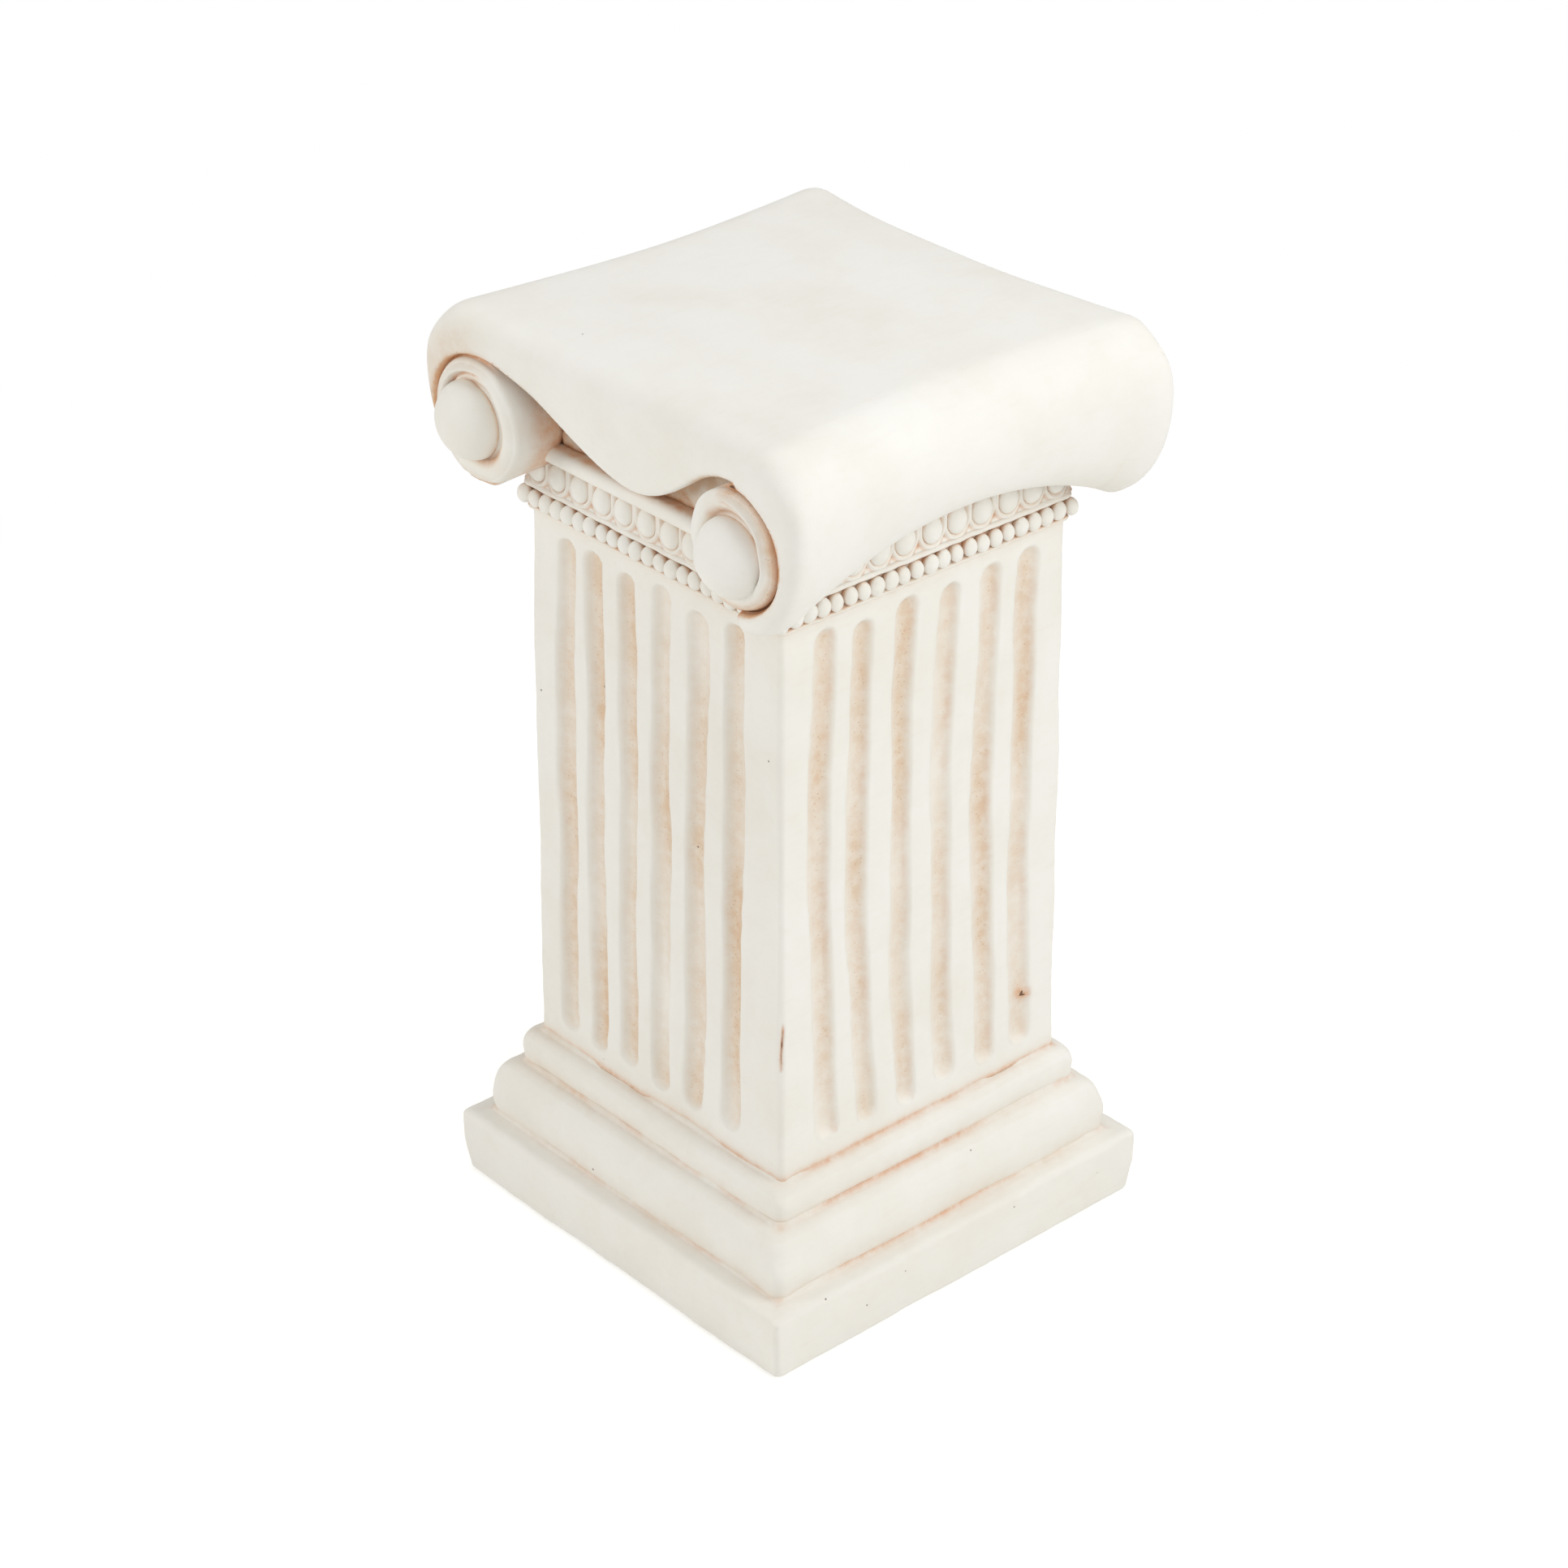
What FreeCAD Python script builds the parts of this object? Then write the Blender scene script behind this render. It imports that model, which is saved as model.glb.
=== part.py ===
import FreeCAD, Part
import math
import os

from FreeCAD import Vector

# Pedestal column stand: a square hollow-cast column with a scroll capital.
# Millimetres. The origin is on the floor under the centre, +Z is up,
# the volutes look along -Y and +Y, and the rolls lie along Y at -X and +X.

# ---------------------------------------------------------------- overall sizes
HEIGHT = 460.0              # floor to the flat top
WIDTH = 250.0               # over the two rolls, along X
DEPTH = 250.0               # over the volute eyes, along Y
JOINT_GAP = 0.3             # clearance round a piece that is let into another
WALL = 10.0                 # cast wall of the shaft and of the rings
FINE_SIDES = 14             # flats round a small turned form
BROAD_SIDES = 26            # flats round a large turned form

# ---------------------------------------------------------------- foot pads
PAD_SIDE = 24.0
PAD_THICK = 3.0
PAD_STAND = 1.0             # how far a pad stands out under the plinth
PAD_INSET = 24.0            # pad centre in from the side of the plinth

# ---------------------------------------------------------------- base
PLINTH_HALF = 114.0         # half width at the floor
PLINTH_BULGE = 2.5          # how far the sides swell above that
PLINTH_HIGH = 34.0
PLINTH_ROUND = 5.0          # rounding along the top edge
TRAY_FLOOR = 12.0           # thickness of the closed bottom
CORNER_SOFT = 5.0           # rounding of the upright corners of the base
BED = 1.5                   # thickness of a bedding joint
BED_BACK = 3.0              # how far a bed lies behind the face above it
TORUS_HALF = 105.5
TORUS_HIGH = 29.5
TORUS_UPRIGHT = 8.0         # straight part under the ovolo
FILLET_HALF = 94.5
FILLET_HIGH = 17.0
FILLET_UPRIGHT = 9.0
FILLET_TOP_HALF = 88.5
TIER_EASE = 1.0             # softening along the lower edge of a tier
ROUND_STEPS = 5             # bands in a quarter round
CORNER_STEPS = 3            # flats round an upright corner

# ---------------------------------------------------------------- shaft
SHAFT_FOOT_HALF = 87.0
SHAFT_HEAD_HALF = 84.8
SHAFT_CORNER = 6.0
FLUTES = 6                  # in each face
FLUTE_PITCH = 23.8
FLUTE_WIDE = 12.0
FLUTE_DEEP = 4.2
FLUTE_FOOT = 7.0            # plain wall below a flute
FLUTE_HEAD = 6.0            # plain wall above it
SPIGOT_HIGH = 8.0           # locating rims inside the two ends of the shaft

# ---------------------------------------------------------------- neck courses
NECK_HIGH = 14.5
NECK_LEDGE = 1.6            # plain edge under the beads
BEADS = 22                  # spaces between beads in each side
BEAD_FILL = 0.95            # bead diameter over bead spacing
BEAD_BACKING = 2.0
BEAD_FACE_HALF = 86.0       # face of the backing, where the bead centres lie
CABLE_HIGH = 4.0
CABLE_OUT = 2.0
EGG_HIGH = 15.5
EGG_FACE_HALF = 88.0
EGG_FRAME_DEEP = 3.6        # depth of the frames that hold the eggs
EGGS = 11                   # in each side
EGG_PITCH = 15.2
EGG_WIDE = 11.2
EGG_TALL = 12.4
EGG_EDGE = 1.2              # wall left over and under a frame
CARVED_SIDES = 8           # flats round a bead or an egg
ECHINUS_HIGH = 9.0
ECHINUS_HALF = 88.5
ECHINUS_OUT = 4.0           # swell of the half-round
RING_HOLE_HALF = 66.0       # the hollow through every ring

# ---------------------------------------------------------------- capital
CAPITAL_HIGH = 60.0         # top of the half-round to the flat top
COVER_THICK = 12.0
ROLL_X = WIDTH / 2          # widest point of the rolls
CORE_HALF_X = ROLL_X - 49.0
EYE_PROUD = 12.5            # how far an eye stands out beyond the end of its roll
COVER_HALF_Y = DEPTH / 2 - EYE_PROUD
CORE_HALF_Y = COVER_HALF_Y - 26.5   # the recessed wall behind the drape
COVER_TOP_ROUND = 13.0      # rounding of the cover's front and back edges
DRAPE_TIP_Y = COVER_HALF_Y - 19.0   # outer face of the drape at its tip
DRAPE_TIP_RISE = 1.5        # gap between the tip and the half-round
DRAPE_THICK = 6.0
DRAPE_BOW = 4.2             # how far the hanging face bows outwards
ROLL_FLAT_END = ROLL_X - 25.0       # where the flat top turns into the roll, at the ends
ROLL_FLAT_WAIST = ROLL_X - 31.0     # and at the waist
ROLL_WAIST_IN = 7.5         # how far the waist lies inside the ends
ROLL_CREST_DROP = 35.0      # widest point of the roll below the top
ROLL_END_DEEP = 88.0        # depth of the roll at its ends
ROLL_WAIST_DEEP = 60.0      # and at its waist
ROLL_TAIL_END_X = ROLL_X - 39.0     # lowest point of the roll at its ends
ROLL_TAIL_WAIST_X = ROLL_X - 25.0   # and at its waist
ROLL_ARRIS = 4.0            # softening of the end edges
ROLL_SPANS = 4              # straight-ruled spans from end to end

# ---------------------------------------------------------------- volutes
VOLUTE_X = ROLL_X - 40.5
VOLUTE_DROP = 51.5          # volute centre below the top
VOLUTE_RADIUS = 29.5
COVE = 3.5                  # open cove between the disc and the roll
VOLUTE_FACE = COVER_HALF_Y + 2.5    # crest of the disc's rim
VOLUTE_SPIGOT = 7.0
VOLUTE_SPIGOT_LONG = 11.0
RIM_WIDE = 5.0
DISH_DEEP = 2.6
EYE_RADIUS = 18.4
EYE_SEAT_DEEP = 1.2
EYE_OUT = 2.5               # eye centre outwards from the disc's centre
EYE_DROP = 1.5              # and below it
EYE_STEPS = 4               # bands in the dome of an eye

# ---------------------------------------------------------------- heights worked out
Z_PLINTH = PAD_STAND
Z_PLINTH_TOP = Z_PLINTH + PLINTH_HIGH
Z_TORUS = Z_PLINTH_TOP + BED
Z_FILLET = Z_TORUS + TORUS_HIGH
Z_FILLET_TOP = Z_FILLET + FILLET_HIGH
Z_SHAFT = Z_FILLET_TOP + BED
Z_ECHINUS_TOP = HEIGHT - CAPITAL_HIGH
Z_ECHINUS = Z_ECHINUS_TOP - ECHINUS_HIGH
Z_EGG = Z_ECHINUS - EGG_HIGH
Z_NECK = Z_EGG - NECK_HIGH
Z_SHAFT_TOP = Z_NECK - BED
Z_CORE_TOP = HEIGHT - COVER_THICK
Z_VOLUTE = HEIGHT - VOLUTE_DROP
SHAFT_LONG = Z_SHAFT_TOP - Z_SHAFT
NECK_CLEAR = ECHINUS_HALF + ECHINUS_OUT + JOINT_GAP
EYE_TIP = DEPTH / 2
ALONG = 2 * max(WIDTH, DEPTH)
CENTRE = Vector(0, 0, 0)
UP = Vector(0, 0, 1)
RIGHT = Vector(1, 0, 0)
SIDES = ("front", "right", "back", "left")

os.makedirs("parts", exist_ok=True)


def save(name, shape):
    """Write one piece, or one group of like pieces, to its own file."""
    shape.exportStep("parts/" + name + ".step")
    print(f"{name:24s} {len(shape.Solids):3d} solid(s) {shape.Volume / 1000:8.1f} cm3 {len(shape.Faces):5d} faces")


# ---------------------------------------------------------------- shared geometry

def path(start, *steps):
    """Edges in the XZ plane. A step (x, z) is a line, a step ((x, z), (x, z)) an arc via the first."""
    edges = []
    here = Vector(start[0], 0, start[1])
    for step in steps:
        if isinstance(step[0], tuple):
            via = Vector(step[0][0], 0, step[0][1])
            there = Vector(step[1][0], 0, step[1][1])
            edges.append(Part.Arc(here, via, there).toShape())
        else:
            there = Vector(step[0], 0, step[1])
            edges.append(Part.LineSegment(here, there).toShape())
        here = there
    return edges


def mirrored(shape):
    """The same shape on the other side of the middle."""
    return shape.mirror(CENTRE, RIGHT)


def mirrored_face(edges):
    """Face between half an outline, its mirror image, and straight closing edges where these are apart."""
    loop = edges + [mirrored(edge) for edge in edges]
    for point in (edges[0].firstVertex().Point, edges[-1].lastVertex().Point):
        if point.x > 0.01:
            loop.append(Part.LineSegment(Vector(-point.x, 0, point.z), point).toShape())
    return Part.Face(Part.Wire(Part.__sortEdges__(loop)))


def bar_along_y(face, length):
    """Bar with the face as its section, centred on the column."""
    bar = face.extrude(Vector(0, length, 0))
    bar.translate(Vector(0, -length / 2, 0))
    return bar


def bar_along_x(face, length):
    """The same, turned so that the section's X runs along Y."""
    bar = bar_along_y(face, length)
    bar.rotate(CENTRE, UP, 90)
    return bar


def run_square(edges):
    """Run one moulding outline round a square and mitre its corners."""
    face = mirrored_face(edges)
    return bar_along_y(face, ALONG).common(bar_along_x(face, ALONG)).removeSplitter()


def square_block(half_x, half_y, low, high):
    """Upright block centred on the column."""
    return Part.makeBox(2 * half_x, 2 * half_y, high - low, Vector(-half_x, -half_y, low))


def hollowed(block, half, low, high):
    """Square ring: a block with the column's hollow taken out between two heights."""
    return block.cut(square_block(half, half, low, high))


def facet(*corners):
    """Flat face between its corners."""
    return Part.Face(Part.makePolygon([*corners, corners[0]]))


def skinned(loops):
    """Solid in flat facets through closed loops of as many points each."""
    faces = [facet(*loops[0]), facet(*loops[-1])]
    for low, high in zip(loops, loops[1:]):
        for number in range(len(low)):
            before = number - 1
            a, b, c, d = low[before], low[number], high[number], high[before]
            if abs((b - a).cross(c - a).dot(d - a)) < 1e-6:
                faces.append(facet(a, b, c, d))
            else:
                faces.extend((facet(a, b, c), facet(a, c, d)))
    solid = Part.makeSolid(Part.makeShell(faces))
    if solid.Volume < 0:
        solid.reverse()
    return solid


def rounded_square(half, radius, height):
    """Points round a square with rounded corners at one height."""
    straight = half - radius
    points = []
    for turn in range(4):
        for step in range(CORNER_STEPS + 1):
            angle = math.radians(90 * (turn + step / CORNER_STEPS))
            middle = math.radians(90 * turn + 45)
            x = straight * math.sqrt(2) * math.cos(middle) + radius * math.cos(angle)
            y = straight * math.sqrt(2) * math.sin(middle) + radius * math.sin(angle)
            points.append(Vector(x, y, height))
    return points


def stacked(outline, radius):
    """Square block with rounded corners whose side follows an outline of (half width, height)."""
    return skinned([rounded_square(half, radius, height) for half, height in outline])


def quarter_round(foot, head):
    """Points of an elliptical quarter round that starts upright at its foot and ends level."""
    points = []
    for step in range(1, ROUND_STEPS + 1):
        angle = math.radians(90 * step / ROUND_STEPS)
        points.append((blend(head[0], foot[0], math.cos(angle)), blend(foot[1], head[1], math.sin(angle))))
    return points


def turned(stations, sides):
    """Upright turned form in flats: stations are (radius, height)."""
    loops = []
    for radius, height in stations:
        angles = [math.radians(360 * number / sides) for number in range(sides)]
        loops.append([Vector(radius * math.cos(angle), radius * math.sin(angle), height) for angle in angles])
    return skinned(loops)


def placed(shape, x, y, z):
    """A copy of a shape, moved."""
    copy = shape.copy()
    copy.translate(Vector(x, y, z))
    return copy


def on_four_sides(shape):
    """The shape as made for the front, and its copies on the other three sides."""
    sides = {}
    for turn, side in enumerate(SIDES):
        copy = shape.copy()
        copy.rotate(CENTRE, UP, 90 * turn)
        sides[side] = copy
    return sides


def blend(first, second, share):
    """Value between two others."""
    return first + (second - first) * share


# ---------------------------------------------------------------- base

def pad_places():
    """Centres of the four foot pads."""
    reach = PLINTH_HALF - PAD_INSET
    return {
        "front_left": (-reach, -reach),
        "front_right": (reach, -reach),
        "back_left": (-reach, reach),
        "back_right": (reach, reach),
    }


def pad_block(place, side, low, high):
    """Square block centred on a pad's place."""
    return Part.makeBox(side, side, high - low, Vector(place[0] - side / 2, place[1] - side / 2, low))


def foot_pads():
    """Four square pads that stand the plinth off the floor."""
    return {name: pad_block(place, PAD_SIDE, 0, PAD_THICK) for name, place in pad_places().items()}


def plinth():
    """Closed-bottom tray with a swollen side; the pads are let into its underside."""
    widest = PLINTH_HALF + PLINTH_BULGE
    shoulder = Z_PLINTH_TOP - PLINTH_ROUND
    swell = (PLINTH_HALF + 0.75 * PLINTH_BULGE, blend(Z_PLINTH, shoulder, 0.45))
    outline = [(PLINTH_HALF, Z_PLINTH), swell, (widest, shoulder)]
    outline += quarter_round((widest, shoulder), (widest - PLINTH_ROUND, Z_PLINTH_TOP))
    block = stacked(outline, CORNER_SOFT)
    block = hollowed(block, TORUS_HALF - 2 * WALL, Z_PLINTH + TRAY_FLOOR, HEIGHT)
    for place in pad_places().values():
        block = block.cut(pad_block(place, PAD_SIDE + 2 * JOINT_GAP, 0, PAD_THICK))
    return block


def bed(half, inner_half, low):
    """Thin square layer of bedding mortar."""
    return hollowed(square_block(half, half, low, low + BED), inner_half, 0, HEIGHT)


def base_torus():
    """Large ovolo tier."""
    shoulder = (TORUS_HALF, Z_TORUS + TORUS_UPRIGHT)
    outline = [(TORUS_HALF - TIER_EASE, Z_TORUS), (TORUS_HALF, Z_TORUS + 2 * TIER_EASE), shoulder]
    crown = FILLET_HALF - 0.12 * (TORUS_HALF - FILLET_HALF)
    outline += quarter_round(shoulder, (crown, Z_FILLET + 0.1 * TORUS_HIGH))
    outline = [point for point in outline if point[1] < Z_FILLET] + [(FILLET_HALF, Z_FILLET)]
    return hollowed(stacked(outline, CORNER_SOFT), RING_HOLE_HALF, 0, HEIGHT)


def base_fillet():
    """Small rounded tier under the shaft, with the rim that centres the shaft's foot."""
    shoulder = (FILLET_HALF, Z_FILLET + FILLET_UPRIGHT)
    outline = [(FILLET_HALF - TIER_EASE, Z_FILLET), (FILLET_HALF, Z_FILLET + 2 * TIER_EASE), shoulder]
    outline += quarter_round(shoulder, (FILLET_TOP_HALF, Z_FILLET_TOP))
    block = stacked(outline, CORNER_SOFT)
    rim_half = shaft_half(Z_SHAFT + SPIGOT_HIGH) - WALL - JOINT_GAP
    rim = square_block(rim_half, rim_half, Z_FILLET_TOP, Z_SHAFT + SPIGOT_HIGH)
    return hollowed(block.fuse(rim), RING_HOLE_HALF, 0, HEIGHT)


# ---------------------------------------------------------------- shaft

def shaft_half(height):
    """Half width of the tapered shaft at a height."""
    return blend(SHAFT_FOOT_HALF, SHAFT_HEAD_HALF, (height - Z_SHAFT) / SHAFT_LONG)


def flute_cutter():
    """Round-ended cutter that lies along the middle of the front face."""
    radius = (FLUTE_WIDE ** 2 / 4 + FLUTE_DEEP ** 2) / (2 * FLUTE_DEEP)
    nose = FLUTE_WIDE / 2
    low = Z_SHAFT + FLUTE_FOOT + nose
    high = Z_SHAFT_TOP - FLUTE_HEAD - nose
    outside = radius - FLUTE_DEEP
    lean = math.degrees(math.atan2(SHAFT_FOOT_HALF - SHAFT_HEAD_HALF, SHAFT_LONG))
    stations = [
        (outside, -nose),
        (blend(outside, radius, 0.6), -0.8 * nose),
        (radius, 0),
        (radius, high - low),
        (blend(outside, radius, 0.6), high - low + 0.8 * nose),
        (outside, high - low + nose),
    ]
    cutter = turned(stations, FINE_SIDES)
    cutter.rotate(CENTRE, RIGHT, -lean)
    cutter.translate(Vector(0, -shaft_half(low) - outside, low))
    return cutter


def shaft():
    """Tapered square tube with flutes hollowed out of its four faces."""
    outer = stacked([(SHAFT_FOOT_HALF, Z_SHAFT), (SHAFT_HEAD_HALF, Z_SHAFT_TOP)], SHAFT_CORNER)
    foot = (SHAFT_FOOT_HALF - WALL, Z_SHAFT)
    head = (SHAFT_HEAD_HALF - WALL, Z_SHAFT_TOP)
    tube = outer.cut(stacked([foot, head], 1.0))
    cutter = flute_cutter()
    cutters = []
    for number in range(FLUTES):
        one = placed(cutter, (number - (FLUTES - 1) / 2) * FLUTE_PITCH, 0, 0)
        cutters.extend(on_four_sides(one).values())
    return tube.cut(Part.makeCompound(cutters))


# ---------------------------------------------------------------- neck courses

def neck_band():
    """Ring with a channel for the beads, a cable line over it and a rim into the shaft's head."""
    channel = BEAD_FACE_HALF - BEAD_BACKING
    low = Z_NECK + NECK_LEDGE
    high = Z_EGG - CABLE_HIGH
    crest = (BEAD_FACE_HALF + CABLE_OUT, Z_EGG - CABLE_HIGH / 2)
    edges = path(
        (BEAD_FACE_HALF - TIER_EASE, Z_NECK),
        (BEAD_FACE_HALF, low),
        (channel, low),
        (channel, high),
        (BEAD_FACE_HALF, high),
        (crest, (BEAD_FACE_HALF, Z_EGG)),
    )
    rim_half = SHAFT_HEAD_HALF - WALL - JOINT_GAP
    rim = square_block(rim_half, rim_half, Z_SHAFT_TOP - SPIGOT_HIGH, Z_NECK)
    return hollowed(run_square(edges).fuse(rim), RING_HOLE_HALF, 0, HEIGHT)


def bead_strips():
    """Four lengths of beading; the front and back ones carry the corner beads."""
    low = Z_NECK + NECK_LEDGE
    high = Z_EGG - CABLE_HIGH
    face = BEAD_FACE_HALF
    spacing = 2 * face / BEADS
    radius = BEAD_FILL * spacing / 2
    whole = turned([
        (0.12 * radius, -radius),
        (radius, -0.42 * radius),
        (radius, 0.42 * radius),
        (0.12 * radius, radius),
    ], CARVED_SIDES)
    strips = {}
    for side in SIDES:
        carries_corners = side in ("front", "back")
        reach = face if carries_corners else face - BEAD_BACKING
        first = 0 if carries_corners else 1
        places = [number * spacing - face for number in range(first, BEADS + 1 - first)]
        beads = Part.makeCompound([placed(whole, x, -face, (low + high) / 2) for x in places])
        behind = square_block(face, face, 0, HEIGHT)
        backing = Part.makeBox(2 * reach, BEAD_BACKING, high - low, Vector(-reach, -face, low))
        strip = backing.fuse(beads.cut(behind).Solids)
        strips[side] = on_four_sides(strip)[side]
    return strips


def egg_places():
    """Distances of the eggs from the middle of a side."""
    return [(number - (EGGS - 1) / 2) * EGG_PITCH for number in range(EGGS)]


def egg_frame_cutter():
    """U-shaped pocket that holds one egg: square above, rounded below."""
    half = EGG_WIDE / 2 + 2 * JOINT_GAP
    low = Z_EGG + EGG_EDGE
    high = Z_ECHINUS - EGG_EDGE
    edges = path((0.5 * half, low), (half, low + 0.75 * half), (half, high))
    pocket = mirrored_face(edges).extrude(Vector(0, EGG_FRAME_DEEP + 1, 0))
    return placed(pocket, 0, -EGG_FACE_HALF - 1, 0)


def egg_band():
    """Ring with a row of U-shaped frames in each side."""
    block = run_square(path((EGG_FACE_HALF, Z_EGG), (EGG_FACE_HALF, Z_ECHINUS)))
    pocket = egg_frame_cutter()
    cutters = []
    for x in egg_places():
        cutters.extend(on_four_sides(placed(pocket, x, 0, 0)).values())
    return hollowed(block, RING_HOLE_HALF, 0, HEIGHT).cut(Part.makeCompound(cutters))


def egg_rows():
    """The eggs of each side, half eggs with flat backs, as one group of separate castings."""
    radius = EGG_WIDE / 2
    whole = turned([
        (0.2 * radius, -0.5 * EGG_TALL),
        (0.84 * radius, -0.27 * EGG_TALL),
        (radius, 0.16 * EGG_TALL),
        (0.3 * radius, 0.5 * EGG_TALL),
    ], CARVED_SIDES)
    half = whole.common(Part.makeBox(EGG_WIDE, EGG_WIDE, EGG_TALL, Vector(-radius, -EGG_WIDE, -EGG_TALL / 2)))
    floor = EGG_FRAME_DEEP - EGG_FACE_HALF
    row = Part.makeCompound([placed(half, x, floor, (Z_EGG + Z_ECHINUS) / 2) for x in egg_places()])
    return on_four_sides(row)


def echinus_ring():
    """Half-round moulding that closes the neck."""
    crest = (ECHINUS_HALF + ECHINUS_OUT, Z_ECHINUS + ECHINUS_HIGH / 2)
    edges = path((ECHINUS_HALF, Z_ECHINUS), (crest, (ECHINUS_HALF, Z_ECHINUS_TOP)))
    return hollowed(run_square(edges), RING_HOLE_HALF, 0, HEIGHT)


# ---------------------------------------------------------------- capital

def capital_core():
    """Box that stands on the neck and carries the cover; its front and back show behind the drape."""
    block = square_block(CORE_HALF_X, CORE_HALF_Y, Z_ECHINUS_TOP, Z_CORE_TOP)
    return block.cut(square_block(CORE_HALF_X - WALL, CORE_HALF_Y - 2 * WALL, 0, HEIGHT))


def roll_section(y, inset):
    """Points round the right-hand roll at one place along it."""
    share = min(1.0, (y / roll_full()) ** 2)
    flat = (blend(ROLL_FLAT_WAIST, ROLL_FLAT_END, share) - inset, HEIGHT - inset)
    crest = (blend(ROLL_X - ROLL_WAIST_IN, ROLL_X, share) - inset, HEIGHT - ROLL_CREST_DROP)
    low = HEIGHT - blend(ROLL_WAIST_DEEP, ROLL_END_DEEP, share) + inset
    tail = (blend(ROLL_TAIL_WAIST_X, ROLL_TAIL_END_X, share), low)
    over = quarter_round(crest, flat)
    under = quarter_round(crest, tail)
    outline = [(CORE_HALF_X, flat[1])] + over[::-1] + [crest] + under
    outline.append((CORE_HALF_X, low + 0.35 * (tail[0] - CORE_HALF_X)))
    return [Vector(x, y, z) for x, z in outline]


def roll_full():
    """Half length of the roll up to where its end edges begin to soften."""
    return COVER_HALF_Y - 1.2 * ROLL_ARRIS


def roll():
    """Right-hand roll, drawn in at its waist, with softened ends."""
    stations = [(-COVER_HALF_Y, ROLL_ARRIS)]
    for number in range(ROLL_SPANS + 1):
        stations.append((roll_full() * (2 * number / ROLL_SPANS - 1), 0))
    stations.append((COVER_HALF_Y, ROLL_ARRIS))
    return skinned([roll_section(y, inset) for y, inset in stations])


def cover_edge():
    """Rounded front edge of the cover, as steps in Y and Z from its outer face to the flat top."""
    bend = COVER_TOP_ROUND * (1 - math.sqrt(0.5))
    foot = (COVER_HALF_Y, HEIGHT - COVER_TOP_ROUND)
    via = (COVER_HALF_Y - bend, HEIGHT - bend)
    head = (COVER_HALF_Y - COVER_TOP_ROUND, HEIGHT)
    return foot, via, head


def cover_envelope():
    """Everything between the cover's front and back faces, with their top edges rounded."""
    foot, via, head = cover_edge()
    return bar_along_x(mirrored_face(path((COVER_HALF_Y, 0), foot, (via, head))), ALONG)


def drape_plate():
    """Top slab with a hanging sheet in front and behind, as one bent plate."""
    foot, via, head = cover_edge()
    tip = (DRAPE_TIP_Y, Z_ECHINUS_TOP + DRAPE_TIP_RISE)
    middle = (blend(foot[0], tip[0], 0.5) + DRAPE_BOW, blend(foot[1], tip[1], 0.5) + 0.3 * DRAPE_BOW)
    back_tip = (tip[0] - 0.85 * DRAPE_THICK, tip[1] + 0.5 * DRAPE_THICK)
    back_middle = (middle[0] - 0.95 * DRAPE_THICK, middle[1] + 0.3 * DRAPE_THICK)
    back_top = (COVER_HALF_Y - 1.25 * DRAPE_THICK, Z_CORE_TOP)
    edges = path(
        (0, HEIGHT),
        head,
        (via, foot),
        (middle, tip),
        back_tip,
        (back_middle, back_top),
        (0, Z_CORE_TOP),
    )
    return bar_along_x(mirrored_face(edges), 2 * CORE_HALF_X)


def drape_window():
    """What is cut away under the drape's edge, between the volutes."""
    reach = CORE_HALF_X
    meet = Z_VOLUTE + math.sqrt((VOLUTE_RADIUS + COVE) ** 2 - (VOLUTE_X - reach) ** 2)
    tip = Z_ECHINUS_TOP + DRAPE_TIP_RISE
    upper = (0.78 * reach, blend(tip, meet, 0.86))
    knee = (0.56 * reach, blend(tip, meet, 0.58))
    lower = (0.27 * reach, blend(tip, meet, 0.19))
    edges = path((reach, Z_NECK), (reach, meet), (upper, knee), (lower, (0, tip)))
    return bar_along_y(mirrored_face(edges), ALONG)


def volute_places():
    """Name, side of the middle, and turn about the upright axis of each volute."""
    return [("front_left", -1, 0), ("front_right", 1, 0), ("back_left", -1, 180), ("back_right", 1, 180)]


def outwards(form, turn, x, z):
    """Lay an upright turned form along Y, its height running outwards, with its axis at X and Z."""
    copy = form.copy()
    copy.rotate(CENTRE, RIGHT, 90)
    copy.rotate(CENTRE, UP, turn)
    return placed(copy, x, 0, z)


def cove_cutter():
    """Round recess in the end of a roll, with the hole for the disc's spigot."""
    recess = turned([(VOLUTE_RADIUS + COVE, CORE_HALF_Y), (VOLUTE_RADIUS + COVE, DEPTH)], BROAD_SIDES)
    bottom = CORE_HALF_Y - VOLUTE_SPIGOT_LONG - JOINT_GAP
    hole = turned([(VOLUTE_SPIGOT + JOINT_GAP, bottom), (VOLUTE_SPIGOT + JOINT_GAP, DEPTH)], FINE_SIDES)
    return recess.fuse(hole)


def neck_envelope():
    """Space that the neck courses take up, with clearance."""
    return square_block(NECK_CLEAR, NECK_CLEAR, 0, Z_ECHINUS_TOP)


def scroll_cover():
    """The cover: a flat top that rolls under at the sides and hangs as a drape in front and behind."""
    right = roll().common(cover_envelope())
    plate = drape_plate().cut(drape_window())
    cover = plate.fuse([right, mirrored(right)]).cut(neck_envelope())
    cutter = cove_cutter()
    for name, side, turn in volute_places():
        cover = cover.cut(outwards(cutter, turn, side * VOLUTE_X, Z_VOLUTE))
    return cover


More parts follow.
